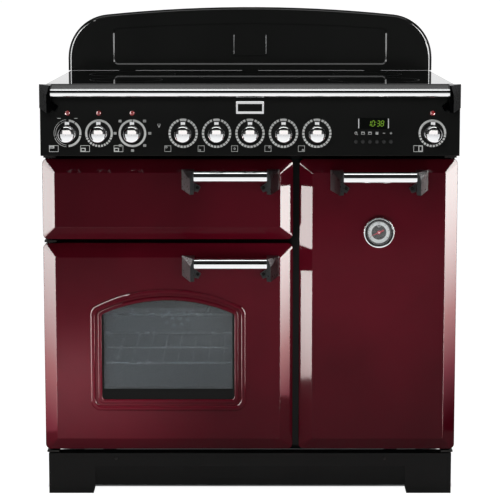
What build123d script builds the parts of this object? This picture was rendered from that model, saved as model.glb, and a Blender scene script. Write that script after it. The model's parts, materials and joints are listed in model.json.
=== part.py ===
"""Induction range cooker: two ovens and a grill behind side-hung doors, an induction
hob with a handrail, and a shaped backguard.

Millimetres. X runs to the right as seen from the front, Y to the back and Z up. The
origin is on the floor, under the middle of the overall box.
"""

import math
import os

from build123d import *

os.makedirs("parts", exist_ok=True)

# Overall sizes
OVERALL_WIDTH = 900.0
OVERALL_DEPTH = 655.0
HOB_HEIGHT = 905.0
BACKGUARD_RISE = 153.0

# Clearances
FIT_GAP = 0.05
LOOSE_GAP = 0.3

# Casing of folded sheet
CASE_SHEET = 1.2
CASE_INSET = 4.0
FRAME_SHEET = 2.0
FRAME_BORDER = 46.0
WIRE_HOLE_RADIUS = 14.0
WALL_SPACE = 25.0
VENT_COUNT = 6
VENT_PITCH = 95.0
VENT_LENGTH = 70.0
VENT_HEIGHT = 7.0
VENT_DROP = 107.0
BASE_HEIGHT = 92.0
BASE_SHEET = 1.5
SKIRT_DROP = 30.0

# Plinth
PLINTH_SHEET = 2.0
PLINTH_HEIGHT = 91.0
PLINTH_LIFT = 17.0
PLINTH_INSET = 3.0
PLINTH_BEND = 62.0
PLINTH_SET_BACK = 12.0
PLINTH_FOOT_WIDTH = 102.0
PLINTH_FOOT_DEPTH = 24.0
PLINTH_FOOT_TAPER = 4.0
PLINTH_FOOT_LIFT = 1.0
PLINTH_ARM_WIDTH = 30.0

# Feet and rollers
FOOT_RADIUS = 20.0
FOOT_THICKNESS = 10.0
FOOT_STEM_RADIUS = 6.0
FOOT_BLOCK = 34.0
FOOT_BLOCK_HEIGHT = 22.0
FOOT_INSET = 60.0
FOOT_SET_BACK = 40.0
ROLLER_RADIUS = 22.0
ROLLER_WIDTH = 24.0
ROLLER_AXLE_RADIUS = 5.0
ROLLER_INSET = 60.0
ROLLER_SET_BACK = 50.0
FORK_SHEET = 4.0
FORK_WIDTH = 30.0

# Doors
DOOR_SHEET = 1.6
DOOR_RIM = 28.0
BEVEL_WIDTH = 28.0
BEVEL_DEPTH = 20.0
DOOR_CORNER = 11.0
FACE_CORNER = 3.0
EDGE_ROUND = 2.0
DOOR_GAP = 14.0
DOOR_STACK_GAP = 9.0
DOOR_INSET = 1.0
DOOR_SPLIT_X = 100.0
DOOR_LIFT = 10.0
GRILL_DOOR_HEIGHT = 175.0
PANEL_GAP = 9.0
SEAL_GAP = 8.0
LINER_SHEET = 1.2

# Hinges
PIN_RADIUS = 4.0
PIN_INSET = 16.0
PIN_SET_FORWARD = 17.0
PIN_REACH = 22.0
PIN_BLOCK = 16.0
HINGE_PLATE = 4.0
HINGE_PLATE_WIDTH = 26.0
HINGE_PLATE_NOSE = 12.0
PIN_WALL_GAP = 1.5

# Door handles and handrail
BAR_RADIUS = 12.4
BAR_WALL = 1.5
GRILL_BAR_DROP = 33.5
LEFT_BAR_DROP = 37.5
RIGHT_BAR_DROP = 35.5
HANDLE_LENGTH = 210.0
HANDLE_END_INSET = 30.0
HANDLE_REACH = 46.0
HANDLE_TOP = 13.5
HANDLE_FOOT = 30.0
HANDLE_NOSE = 37.0
BAR_STAND_OFF = 31.0
BRACKET_WIDTH = 27.0
BRACKET_RIDGE = 19.0
BRACKET_NOSE = 4.0
FACET_DROP = 1.0
FACET_INSET = 2.0
SPIGOT_LENGTH = 8.0
RAIL_RADIUS = 9.5
RAIL_REACH = 36.0
RAIL_STAND_OFF = 24.0
RAIL_DROP = 17.0
RAIL_FOOT = 34.0
RAIL_NOSE = 42.0
LOBE_THICKNESS = 5.0
LOBE_RISE = 1.5
LOBE_TOP = 16.0
LOBE_REACH = 14.0
LOBE_TIP = 3.0
LOBE_TOE_REACH = 8.0
LOBE_TOE_DROP = 8.0
LOBE_ROOT = 4.0
LOBE_HOLE_RADIUS = 4.0
LOBE_HOLE_REACH = 7.0
LOBE_HOLE_RISE = 2.0

# Window in the left oven door
WINDOW_WIDTH = 288.0
WINDOW_SILL = 116.0
WINDOW_SIDE_HEIGHT = 188.0
WINDOW_CROWN_RISE = 31.0
WINDOW_CORNER = 7.0
MOULDING_CORNER_GROWTH = 0.6
MOULDING_WIDTH = 25.0
OUTER_BEAD_WIDTH = 11.0
INNER_BEAD_WIDTH = 9.0
OUTER_BEAD_RISE = 5.5
INNER_BEAD_RISE = 3.5
GLASS_THICKNESS = 4.0
GLASS_MARGIN = 14.0
LINER_WINDOW_MARGIN = 6.0

# Control panel
PANEL_HEIGHT = 136.0
PANEL_SHEET = 2.0
PANEL_PROUD = 10.0
PANEL_INSET = 1.0
KNOB_RISE = 49.0
LAMP_RISE = 43.0
END_KNOB_INSET = 59.0
OVEN_KNOB_PITCH = 67.0
FUNCTION_KNOB_PITCH = 71.5
HOB_KNOB_PITCH = 71.5
LAMP_RADIUS = 5.5
LAMP_STEM_RADIUS = 4.4
LAMP_HEIGHT = 4.0
LAMP_DOME = 3.4

# Knobs and switches
KNOB_SKIRT_RADIUS = 17.0
KNOB_NECK_RADIUS = 11.0
KNOB_GRIP_RADIUS = 16.5
KNOB_FACE_RADIUS = 12.0
KNOB_LENGTH = 42.0
KNOB_LIFT = 1.0
KNOB_RIM = 2.0
KNOB_NECK_AT = 13.5
KNOB_WIDEST_AT = 28.5
KNOB_DOME = 2.0
POINTER_TIP = 25.0
POINTER_WIDTH = 7.0
POINTER_TIP_WIDTH = 9.5
POINTER_HEIGHT = 12.0
SPINDLE_RADIUS = 3.0
SPINDLE_IN_KNOB = 20.0
SPINDLE_IN_SWITCH = 16.0
SPINDLE_HOLE_GAP = 1.0
SWITCH_SIZE = 38.0
SWITCH_DEPTH = 34.0

# Clock
CLOCK_INSET = 126.0
CLOCK_RISE = 70.0
CLOCK_WIDTH = 68.0
CLOCK_HEIGHT = 24.0
CLOCK_PROUD = 0.8
CLOCK_MARGIN = 14.0
CLOCK_DEPTH = 30.0
BUTTON_COUNT = 6
BUTTON_PITCH = 15.0
BUTTON_RISE = 31.0
BUTTON_RADIUS = 4.0
BUTTON_PROUD = 2.5
BUTTON_ROUND = 0.8
BUTTON_FLANGE = 1.2
BUTTON_FLANGE_SHEET = 1.0
BUTTON_STEM = 3.0
BUTTON_ROOM = 6.0

# Hob
HOB_FRAME_HEIGHT = 16.0
HOB_TRIM = 11.0
HOB_LEDGE = 12.0
HOB_CHAMFER = 7.0
HOB_GLASS = 5.0
HOB_GLASS_PROUD = 2.0
HOB_REAR = 48.0
HOB_CHANNEL_WALL = 3.0
COIL_THICKNESS = 10.0
COIL_GAP = 1.0
COIL_EYE_RADIUS = 20.0
SMALL_COIL_RADIUS = 72.0
LARGE_COIL_RADIUS = 92.0
CENTRE_COIL_RADIUS = 108.0
COIL_SPREAD_X = 275.0
COIL_SPREAD_Y = 118.0
MODULE_SHEET = 3.0
MODULE_WIDTH = 260.0
MODULE_LENGTH = 330.0
MODULE_HEIGHT = 60.0
MODULE_X = 180.0
MODULE_WALL = 2.0

# Backguard
BACKGUARD_DEPTH = 34.0
BACKGUARD_INSET = 7.0
BACKGUARD_LIFT = 1.5
BACKGUARD_CORNER = 105.0
BACKGUARD_CROWN = 29.0
BACKGUARD_EDGE = 9.0
BACKGUARD_WALL = 5.0
BACKGUARD_SHEET = 5.0
BACKGUARD_FOOT = 40.0
BACKGUARD_FOOT_X = 300.0
PANEL_SINK = 2.5
SUNK_PANEL_INSET = 110.0
SUNK_PANEL_BASE = 14.0
SUNK_PANEL_TOP_INSET = 38.0
SUNK_PANEL_CORNER = 12.0
SUNK_PANEL_CROWN = 13.0

# Ovens and grill
CAVITY_SHEET = 1.2
CAVITY_FLANGE = 12.0
CAVITY_DEPTH = 430.0
CAVITY_SILL = 44.0
CAVITY_HEAD = 40.0
GRILL_SILL = 24.0
GRILL_HEAD = 26.0
LEDGE_WIDTH = 9.0
LEDGE_THICKNESS = 3.0
LEDGE_FRONT = 12.0
BAFFLE_SPACE = 52.0
BAFFLE_SHEET = 2.0
BAFFLE_GAP = 3.0
BAFFLE_HOLE = 5.0
BAFFLE_HOLE_RINGS = (18.0, 34.0)
STAND_OFF_RADIUS = 5.0
STAND_OFF_INSET = 26.0
RACK_ROD = 3.0
RACK_SIDE_ROD = 2.8
RACK_CROSS_BAR = 2.5
RACK_WIRE = 2.0
RACK_PITCH = 34.0
RACK_SIDE_GAP = 4.0
LEFT_SHELF_RISES = (135.0, 244.0)
RIGHT_SHELF_RISES = (130.0, 290.0, 440.0)
FAN_RADIUS = 55.0
FAN_DEPTH = 20.0
FAN_HUB_RADIUS = 13.0
FAN_BLADES = 12
FAN_SHEET = 1.5
FAN_WALL_GAP = 8.0
SHAFT_RADIUS = 4.0
SHAFT_HOLE_GAP = 3.0
SHAFT_IN_MOTOR = 30.0
MOTOR_RADIUS = 32.0
MOTOR_LENGTH = 50.0
MOTOR_PLATE = 84.0
MOTOR_PLATE_SHEET = 2.0
RING_ELEMENT_RADIUS = 75.0
ELEMENT_TUBE = 3.5
ELEMENT_KNEE = 4.0
ELEMENT_LEG = 3.0
ELEMENT_LEG_SPREAD = 12.0
GRILL_ELEMENT_DROP = 14.0
GRILL_ELEMENT_MARGIN = 45.0
GRILL_ELEMENT_RUNS = 6
PAN_HEIGHT = 32.0
PAN_SHEET = 1.5
PAN_RIM = 6.0
PAN_CORNER = 10.0
PAN_SIDE_GAP = 5.0
PAN_LEDGE_RISE = 30.0
PAN_LENGTH = 340.0
SEAL_WIDTH = 10.0
SEAL_OFFSET = 5.0
SEAL_THICKNESS = 7.4

# Thermometer on the right door
GAUGE_RADIUS = 33.0
GAUGE_DEPTH = 12.0
GAUGE_BEZEL = 8.0
GAUGE_SLOPE = 5.5
GAUGE_ROUND = 2.0
GAUGE_RECESS = 9.5
GAUGE_STEM_RADIUS = 18.0
GAUGE_STEM_LENGTH = 14.0
GAUGE_DROP = 157.0
GAUGE_PIN_RADIUS = 1.5
NEEDLE_LENGTH = 21.0
NEEDLE_TAIL = 12.0
NEEDLE_WIDTH = 3.2
NEEDLE_SHEET = 1.0
NEEDLE_LIFT = 2.0
NEEDLE_HUB_RADIUS = 4.0
NEEDLE_REST = 205.0

# Mains terminal box
TERMINAL_X = 250.0
TERMINAL_WIDTH = 110.0
TERMINAL_HEIGHT = 90.0
TERMINAL_Z = 150.0
TERMINAL_SHEET = 2.5
GLAND_RADIUS = 9.0
GLAND_LENGTH = 14.0
CHAIN_HOLE_RADIUS = 3.5
CHAIN_HOLE_X = 300.0
CHAIN_PLATE = 40.0
CHAIN_PLATE_SHEET = 4.0
CHAIN_HOLE_DROP = 47.0

# Depths from front to back
FRONT_Y = -OVERALL_DEPTH / 2
BACK_Y = OVERALL_DEPTH / 2
PANEL_FACE_Y = FRONT_Y + KNOB_LIFT + KNOB_LENGTH
PANEL_BACK_Y = PANEL_FACE_Y + PANEL_SHEET
DOOR_FACE_Y = PANEL_FACE_Y + PANEL_PROUD
RIM_FRONT_Y = DOOR_FACE_Y + BEVEL_DEPTH
DOOR_BACK_Y = RIM_FRONT_Y + DOOR_RIM
FRAME_FACE_Y = DOOR_BACK_Y + SEAL_GAP
FRAME_BACK_Y = FRAME_FACE_Y + FRAME_SHEET
CASE_BACK_Y = BACK_Y - WALL_SPACE
CASE_BACK_INNER_Y = CASE_BACK_Y - CASE_SHEET
PIN_Y = DOOR_BACK_Y - PIN_SET_FORWARD
PLINTH_FACE_Y = RIM_FRONT_Y
CAVITY_BACK_Y = FRAME_BACK_Y + CAVITY_DEPTH
BAFFLE_Y = CAVITY_BACK_Y - BAFFLE_SPACE
RAIL_Y = PANEL_FACE_Y - RAIL_STAND_OFF
BAR_Y = DOOR_FACE_Y - BAR_STAND_OFF
BACKGUARD_FRONT_Y = BACK_Y - BACKGUARD_DEPTH

# Heights from the floor
HOB_FRAME_TOP = HOB_HEIGHT - HOB_GLASS_PROUD
PANEL_TOP = HOB_FRAME_TOP - HOB_FRAME_HEIGHT
PANEL_BOTTOM = PANEL_TOP - PANEL_HEIGHT
DOOR_TOP = PANEL_BOTTOM - PANEL_GAP
DOOR_BOTTOM = PLINTH_HEIGHT + DOOR_LIFT
GRILL_DOOR_BOTTOM = DOOR_TOP - GRILL_DOOR_HEIGHT
OVEN_DOOR_TOP = GRILL_DOOR_BOTTOM - DOOR_STACK_GAP
KNOB_Z = PANEL_BOTTOM + KNOB_RISE
LAMP_Z = KNOB_Z + LAMP_RISE
CLOCK_Z = PANEL_BOTTOM + CLOCK_RISE
BUTTON_Z = PANEL_BOTTOM + BUTTON_RISE
RAIL_Z = HOB_HEIGHT - RAIL_DROP
GLASS_BOTTOM = HOB_HEIGHT - HOB_GLASS
BACKGUARD_BOTTOM = HOB_FRAME_TOP + BACKGUARD_LIFT
BACKGUARD_TOP = HOB_HEIGHT + BACKGUARD_RISE
GAUGE_Z = DOOR_TOP - GAUGE_DROP
CHAIN_HOLE_Z = PANEL_TOP - CHAIN_HOLE_DROP
VENT_Z = PANEL_TOP - VENT_DROP
SKIRT_Z = BASE_HEIGHT - SKIRT_DROP

# Places from left to right
CASE_HALF = OVERALL_WIDTH / 2 - CASE_INSET
CASE_INNER = CASE_HALF - CASE_SHEET
PANEL_HALF = OVERALL_WIDTH / 2 - PANEL_INSET
DOOR_EDGE = OVERALL_WIDTH / 2 - DOOR_INSET
LEFT_DOOR = (-DOOR_EDGE, DOOR_SPLIT_X - DOOR_GAP / 2)
RIGHT_DOOR = (DOOR_SPLIT_X + DOOR_GAP / 2, DOOR_EDGE)
LEFT_MID = sum(LEFT_DOOR) / 2
RIGHT_MID = sum(RIGHT_DOOR) / 2
LEFT_PIN_X = LEFT_DOOR[0] + PIN_INSET
RIGHT_PIN_X = RIGHT_DOOR[1] - PIN_INSET
LEFT_HANDLE_X = LEFT_DOOR[1] - HANDLE_END_INSET - HANDLE_LENGTH
RIGHT_HANDLE_X = RIGHT_MID - HANDLE_LENGTH / 2
END_KNOB_X = PANEL_HALF - END_KNOB_INSET
CLOCK_X = END_KNOB_X - CLOCK_INSET
FOOT_X = CASE_HALF - FOOT_INSET
FOOT_Y = FRAME_BACK_Y + FOOT_SET_BACK
ROLLER_X = CASE_HALF - ROLLER_INSET
ROLLER_Y = CASE_BACK_Y - ROLLER_SET_BACK
PLINTH_HALF = CASE_HALF - PLINTH_INSET

# Mouths of the three cavities: left, right, bottom, top
LEFT_MOUTH = (
    LEFT_DOOR[0] + FRAME_BORDER,
    LEFT_DOOR[1] - FRAME_BORDER,
    DOOR_BOTTOM + CAVITY_SILL,
    OVEN_DOOR_TOP - CAVITY_HEAD,
)
GRILL_MOUTH = (
    LEFT_DOOR[0] + FRAME_BORDER,
    LEFT_DOOR[1] - FRAME_BORDER,
    GRILL_DOOR_BOTTOM + GRILL_SILL,
    DOOR_TOP - GRILL_HEAD,
)
RIGHT_MOUTH = (
    RIGHT_DOOR[0] + FRAME_BORDER,
    RIGHT_DOOR[1] - FRAME_BORDER,
    DOOR_BOTTOM + CAVITY_SILL,
    DOOR_TOP - CAVITY_HEAD,
)
LEFT_FAN_Z = (LEFT_MOUTH[2] + LEFT_MOUTH[3]) / 2
RIGHT_FAN_Z = (RIGHT_MOUTH[2] + RIGHT_MOUTH[3]) / 2

# Turns that lay a cylinder along an axis
ALONG = {"x": (0, 90, 0), "y": (90, 0, 0), "z": (0, 0, 0)}


def front_plane(y):
    """A plane facing the viewer at depth y: its own x is +X and its own y is +Z."""
    return Plane.XZ.offset(-y)


def block(x0, x1, y0, y1, z0, z1, mode=Mode.ADD):
    """A box between two corners, in the part being built."""
    with Locations(((x0 + x1) / 2, (y0 + y1) / 2, (z0 + z1) / 2)):
        Box(x1 - x0, y1 - y0, z1 - z0, mode=mode)


def rod(along, x, y, z, radius, length, mode=Mode.ADD):
    """A cylinder centred on a point, in the part being built."""
    with Locations(Location((x, y, z), ALONG[along])):
        Cylinder(radius, length, mode=mode)


def rod_y(x, z, y0, y1, radius, mode=Mode.ADD):
    """A cylinder that runs front to back from y0 to y1."""
    rod("y", x, (y0 + y1) / 2, z, radius, y1 - y0, mode)


def rod_z(x, y, z0, z1, radius, mode=Mode.ADD):
    """A cylinder that runs upwards from z0 to z1."""
    rod("z", x, y, (z0 + z1) / 2, radius, z1 - z0, mode)


def save(part, name):
    """Labels a finished piece and writes it."""
    part.label = name
    export_step(part, f"parts/{name}.step")


# Base frame: floor tray, plinth arms, foot blocks, roller forks with their axles
with BuildPart() as base_frame:
    block(-CASE_INNER, CASE_INNER, FRAME_BACK_Y, CASE_BACK_INNER_Y, BASE_HEIGHT, BASE_HEIGHT + BASE_SHEET)
    for side in (-1, 1):
        arm_x = side * (PLINTH_HALF - PLINTH_FOOT_WIDTH - PLINTH_ARM_WIDTH)
        for arm_y, arm_top in (
            (PLINTH_FACE_Y + PLINTH_SHEET, PLINTH_HEIGHT - PLINTH_SHEET),
            (FRAME_BACK_Y, BASE_HEIGHT),
        ):
            block(
                arm_x - PLINTH_ARM_WIDTH / 2,
                arm_x + PLINTH_ARM_WIDTH / 2,
                arm_y,
                FOOT_Y,
                PLINTH_BEND,
                arm_top,
            )
        foot_x = side * FOOT_X
        block(
            foot_x - FOOT_BLOCK / 2,
            foot_x + FOOT_BLOCK / 2,
            FOOT_Y - FOOT_BLOCK / 2,
            FOOT_Y + FOOT_BLOCK / 2,
            BASE_HEIGHT - FOOT_BLOCK_HEIGHT,
            BASE_HEIGHT,
        )
        for cheek in (-1, 1):
            cheek_x = side * ROLLER_X + cheek * (ROLLER_WIDTH / 2 + LOOSE_GAP + FORK_SHEET / 2)
            block(
                cheek_x - FORK_SHEET / 2,
                cheek_x + FORK_SHEET / 2,
                ROLLER_Y - FORK_WIDTH / 2,
                ROLLER_Y + FORK_WIDTH / 2,
                ROLLER_RADIUS - FORK_WIDTH / 2,
                BASE_HEIGHT,
            )
        fork_length = ROLLER_WIDTH + 2 * LOOSE_GAP + 2 * FORK_SHEET
        rod("x", side * ROLLER_X, ROLLER_Y, ROLLER_RADIUS, ROLLER_AXLE_RADIUS, fork_length)
    for side in (-1, 1):
        rod_z(
            side * FOOT_X,
            FOOT_Y,
            BASE_HEIGHT - FOOT_BLOCK_HEIGHT,
            BASE_HEIGHT,
            FOOT_STEM_RADIUS + FIT_GAP,
            Mode.SUBTRACT,
        )
save(base_frame.part, "base_frame")

# Front levelling feet: pad and stem
with BuildPart() as front_feet:
    for side in (-1, 1):
        rod_z(side * FOOT_X, FOOT_Y, 0, FOOT_THICKNESS, FOOT_RADIUS)
        rod_z(side * FOOT_X, FOOT_Y, 0, BASE_HEIGHT - LOOSE_GAP, FOOT_STEM_RADIUS)
save(front_feet.part, "front_feet")

# Rear rollers on the fork axles
with BuildPart() as rear_rollers:
    for side in (-1, 1):
        rod("x", side * ROLLER_X, ROLLER_Y, ROLLER_RADIUS, ROLLER_RADIUS, ROLLER_WIDTH)
    for side in (-1, 1):
        rod(
            "x",
            side * ROLLER_X,
            ROLLER_Y,
            ROLLER_RADIUS,
            ROLLER_AXLE_RADIUS + FIT_GAP,
            ROLLER_WIDTH,
            Mode.SUBTRACT,
        )
save(rear_rollers.part, "rear_rollers")

# Side panels
with BuildPart() as side_panels:
    for x0 in (-CASE_HALF, CASE_INNER):
        block(x0, x0 + CASE_SHEET, FRAME_BACK_Y, CASE_BACK_INNER_Y, SKIRT_Z, PANEL_TOP)
save(side_panels.part, "side_panels")

# Back panel with vent slots and two tapped plates for the wall chain
with BuildPart() as back_panel:
    block(-CASE_HALF, CASE_HALF, CASE_BACK_INNER_Y, CASE_BACK_Y, SKIRT_Z, PANEL_TOP)
    for side in (-1, 1):
        plate_x = side * CHAIN_HOLE_X
        block(
            plate_x - CHAIN_PLATE / 2,
            plate_x + CHAIN_PLATE / 2,
            CASE_BACK_Y - CHAIN_PLATE_SHEET,
            CASE_BACK_Y,
            CHAIN_HOLE_Z - CHAIN_PLATE / 2,
            CHAIN_HOLE_Z + CHAIN_PLATE / 2,
        )
    for n in range(VENT_COUNT):
        vent_x = (n - (VENT_COUNT - 1) / 2) * VENT_PITCH
        block(
            vent_x - VENT_LENGTH / 2,
            vent_x + VENT_LENGTH / 2,
            CASE_BACK_INNER_Y,
            CASE_BACK_Y,
            VENT_Z - VENT_HEIGHT / 2,
            VENT_Z + VENT_HEIGHT / 2,
            mode=Mode.SUBTRACT,
        )
    for side in (-1, 1):
        rod_y(
            side * CHAIN_HOLE_X,
            CHAIN_HOLE_Z,
            CASE_BACK_Y - 2 * CHAIN_PLATE_SHEET,
            CASE_BACK_Y + CHAIN_PLATE_SHEET,
            CHAIN_HOLE_RADIUS,
            Mode.SUBTRACT,
        )
save(back_panel.part, "back_panel")

# Front frame with the three cavity mouths and holes for the switch wires
with BuildPart() as front_frame:
    block(-CASE_HALF, CASE_HALF, FRAME_FACE_Y, FRAME_BACK_Y, BASE_HEIGHT, PANEL_TOP)
    for mouth in (LEFT_MOUTH, GRILL_MOUTH, RIGHT_MOUTH):
        block(
            mouth[0], mouth[1], FRAME_FACE_Y, FRAME_BACK_Y, mouth[2], mouth[3], mode=Mode.SUBTRACT
        )
    for hole_x in (-MODULE_X, 0, MODULE_X):
        rod_y(hole_x, KNOB_Z, FRAME_FACE_Y, FRAME_BACK_Y, WIRE_HOLE_RADIUS, Mode.SUBTRACT)
save(front_frame.part, "front_frame")

# Plinth: bent toe panel between two full-height feet, with a top flange back to the frame
with BuildPart() as plinth:
    toe_half = PLINTH_HALF - PLINTH_FOOT_WIDTH
    toe_back = PLINTH_FACE_Y + PLINTH_SHEET
    with BuildSketch(Plane.YZ.offset(-PLINTH_HALF)):
        with BuildLine():
            Polyline(
                (PLINTH_FACE_Y, PLINTH_HEIGHT),
                (PLINTH_FACE_Y, PLINTH_BEND),
                (PLINTH_FACE_Y + PLINTH_SET_BACK, PLINTH_LIFT),
                (toe_back + PLINTH_SET_BACK, PLINTH_LIFT),
                (toe_back, PLINTH_BEND),
                (toe_back, PLINTH_HEIGHT),
                close=True,
            )
        make_face()
    extrude(amount=2 * PLINTH_HALF)
    for side in (-1, 1):
        with BuildSketch(front_plane(PLINTH_FACE_Y)):
            with BuildLine():
                Polyline(
                    (side * PLINTH_HALF, PLINTH_HEIGHT),
                    (side * PLINTH_HALF, PLINTH_FOOT_LIFT),
                    (side * (toe_half + PLINTH_FOOT_TAPER), PLINTH_FOOT_LIFT),
                    (side * toe_half, PLINTH_LIFT),
                    (side * toe_half, PLINTH_HEIGHT),
                    close=True,
                )
            make_face()
        extrude(amount=-PLINTH_FOOT_DEPTH)
    block(
        -PLINTH_HALF,
        PLINTH_HALF,
        PLINTH_FACE_Y,
        FRAME_FACE_Y,
        PLINTH_HEIGHT - PLINTH_SHEET,
        PLINTH_HEIGHT,
    )
save(plinth.part, "plinth")

# Control panel: folded box with holes for knobs, lamps, clock window and buttons
OVEN_KNOB_XS = (
    -END_KNOB_X,
    -END_KNOB_X + OVEN_KNOB_PITCH,
    -END_KNOB_X + OVEN_KNOB_PITCH + FUNCTION_KNOB_PITCH,
)
HOB_KNOB_XS = tuple((place - 2) * HOB_KNOB_PITCH for place in range(5))
KNOB_XS = (*OVEN_KNOB_XS, *HOB_KNOB_XS, END_KNOB_X)
LAMP_XS = (*OVEN_KNOB_XS, END_KNOB_X)
BUTTON_XS = tuple(CLOCK_X + (n - (BUTTON_COUNT - 1) / 2) * BUTTON_PITCH for n in range(BUTTON_COUNT))
with BuildPart() as control_panel:
    block(-PANEL_HALF, PANEL_HALF, PANEL_FACE_Y, FRAME_FACE_Y, PANEL_BOTTOM, PANEL_TOP)
    front_edges = control_panel.edges().filter_by_position(
        Axis.Y, PANEL_FACE_Y - LOOSE_GAP, PANEL_FACE_Y + LOOSE_GAP
    )
    fillet(front_edges, EDGE_ROUND)
    block(
        -PANEL_HALF + PANEL_SHEET,
        PANEL_HALF - PANEL_SHEET,
        PANEL_BACK_Y,
        FRAME_FACE_Y,
        PANEL_BOTTOM + PANEL_SHEET,
        PANEL_TOP - PANEL_SHEET,
        mode=Mode.SUBTRACT,
    )
    for x in KNOB_XS:
        rod_y(x, KNOB_Z, PANEL_FACE_Y, PANEL_BACK_Y, SPINDLE_RADIUS + SPINDLE_HOLE_GAP, Mode.SUBTRACT)
    for x in LAMP_XS:
        rod_y(x, LAMP_Z, PANEL_FACE_Y, PANEL_BACK_Y, LAMP_STEM_RADIUS + FIT_GAP, Mode.SUBTRACT)
    for x in BUTTON_XS:
        rod_y(x, BUTTON_Z, PANEL_FACE_Y, PANEL_BACK_Y, BUTTON_RADIUS + FIT_GAP, Mode.SUBTRACT)
    block(
        CLOCK_X - CLOCK_WIDTH / 2,
        CLOCK_X + CLOCK_WIDTH / 2,
        PANEL_FACE_Y,
        PANEL_BACK_Y,
        CLOCK_Z - CLOCK_HEIGHT / 2,
        CLOCK_Z + CLOCK_HEIGHT / 2,
        mode=Mode.SUBTRACT,
    )
save(control_panel.part, "control_panel")

# Clock window, a dark pane set in the panel
with BuildPart() as clock_window:
    block(
        CLOCK_X - CLOCK_WIDTH / 2 + FIT_GAP,
        CLOCK_X + CLOCK_WIDTH / 2 - FIT_GAP,
        PANEL_FACE_Y - CLOCK_PROUD,
        PANEL_BACK_Y,
        CLOCK_Z - CLOCK_HEIGHT / 2 + FIT_GAP,
        CLOCK_Z + CLOCK_HEIGHT / 2 - FIT_GAP,
    )
save(clock_window.part, "clock_window")

# Switch bodies behind the knobs and the clock module behind its window
with BuildPart() as control_gear:
    for x in KNOB_XS:
        block(
            x - SWITCH_SIZE / 2,
            x + SWITCH_SIZE / 2,
            PANEL_BACK_Y,
            PANEL_BACK_Y + SWITCH_DEPTH,
            KNOB_Z - SWITCH_SIZE / 2,
            KNOB_Z + SWITCH_SIZE / 2,
        )
    for x in KNOB_XS:
        rod_y(
            x,
            KNOB_Z,
            PANEL_BACK_Y,
            PANEL_BACK_Y + SPINDLE_IN_SWITCH + LOOSE_GAP,
            SPINDLE_RADIUS + FIT_GAP,
            Mode.SUBTRACT,
        )
    clock_half = CLOCK_WIDTH / 2 + CLOCK_MARGIN
    block(
        CLOCK_X - clock_half,
        CLOCK_X + clock_half,
        PANEL_BACK_Y,
        PANEL_BACK_Y + CLOCK_DEPTH,
        CLOCK_Z - CLOCK_HEIGHT / 2,
        CLOCK_Z + CLOCK_HEIGHT / 2 + CLOCK_MARGIN,
    )
    block(
        CLOCK_X - clock_half,
        CLOCK_X + clock_half,
        PANEL_BACK_Y + BUTTON_ROOM,
        PANEL_BACK_Y + CLOCK_DEPTH,
        BUTTON_Z - CLOCK_MARGIN,
        CLOCK_Z,
    )
save(control_gear.part, "control_gear")

# Lamps: domed lenses on stems through the panel
with BuildPart() as indicator_lamps:
    for x in LAMP_XS:
        rod_y(x, LAMP_Z, PANEL_FACE_Y - LAMP_HEIGHT, PANEL_FACE_Y, LAMP_RADIUS)
    domes = indicator_lamps.edges().filter_by_position(
        Axis.Y, PANEL_FACE_Y - LAMP_HEIGHT - LOOSE_GAP, PANEL_FACE_Y - LAMP_HEIGHT + LOOSE_GAP
    )
    fillet(domes, LAMP_DOME)
    for x in LAMP_XS:
        rod_y(x, LAMP_Z, PANEL_FACE_Y, PANEL_BACK_Y + LAMP_STEM_RADIUS, LAMP_STEM_RADIUS)
save(indicator_lamps.part, "indicator_lamps")


def make_knob(name, x):
    """A turned grip with a pointer finger, and the spindle that goes into its switch."""
    base_y = PANEL_FACE_Y - KNOB_LIFT
    face_rim = (KNOB_FACE_RADIUS, KNOB_DOME - KNOB_LENGTH)
    dome_radius = (KNOB_FACE_RADIUS**2 + KNOB_DOME**2) / (2 * KNOB_DOME)
    half_face = KNOB_FACE_RADIUS / 2
    half_drop = dome_radius - math.sqrt(dome_radius**2 - half_face**2)
    with BuildPart() as grip:
        with BuildSketch(Plane(origin=(x, base_y, KNOB_Z), x_dir=(1, 0, 0), z_dir=(0, 0, 1))):
            with BuildLine():
                Line((0, 0), (KNOB_SKIRT_RADIUS, 0))
                Line((KNOB_SKIRT_RADIUS, 0), (KNOB_SKIRT_RADIUS, -KNOB_RIM))
                Spline(
                    (KNOB_SKIRT_RADIUS, -KNOB_RIM),
                    (KNOB_NECK_RADIUS, -KNOB_NECK_AT),
                    (KNOB_GRIP_RADIUS, -KNOB_WIDEST_AT),
                    face_rim,
                    tangents=((-1, -0.6), (-1, -0.35)),
                )
                ThreePointArc(face_rim, (half_face, half_drop - KNOB_LENGTH), (0, -KNOB_LENGTH))
                Line((0, -KNOB_LENGTH), (0, 0))
            make_face()
        revolve(axis=Axis((x, base_y, KNOB_Z), (0, 1, 0)))
        with BuildSketch(front_plane(base_y)):
            with BuildLine():
                Polyline(
                    (x - POINTER_WIDTH / 2, KNOB_Z),
                    (x + POINTER_WIDTH / 2, KNOB_Z),
                    (x + POINTER_TIP_WIDTH / 2, KNOB_Z + POINTER_TIP),
                    (x - POINTER_TIP_WIDTH / 2, KNOB_Z + POINTER_TIP),
                    close=True,
                )
            make_face()
        extrude(amount=POINTER_HEIGHT)
        rod_y(x, KNOB_Z, base_y - SPINDLE_IN_KNOB, base_y, SPINDLE_RADIUS + FIT_GAP, Mode.SUBTRACT)
    with BuildPart() as knob:
        add(grip.part)
        rod_y(
            x,
            KNOB_Z,
            base_y - SPINDLE_IN_KNOB + FIT_GAP,
            PANEL_BACK_Y + SPINDLE_IN_SWITCH,
            SPINDLE_RADIUS,
        )
    save(knob.part, name)


KNOB_NAMES = (
    "grill_knob",
    "left_oven_heat_knob",
    "left_oven_function_knob",
    *(f"hob_knob_{n}" for n in range(1, 6)),
    "right_oven_knob",
)
for knob_name, knob_x in zip(KNOB_NAMES, KNOB_XS):
    make_knob(knob_name, knob_x)

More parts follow.
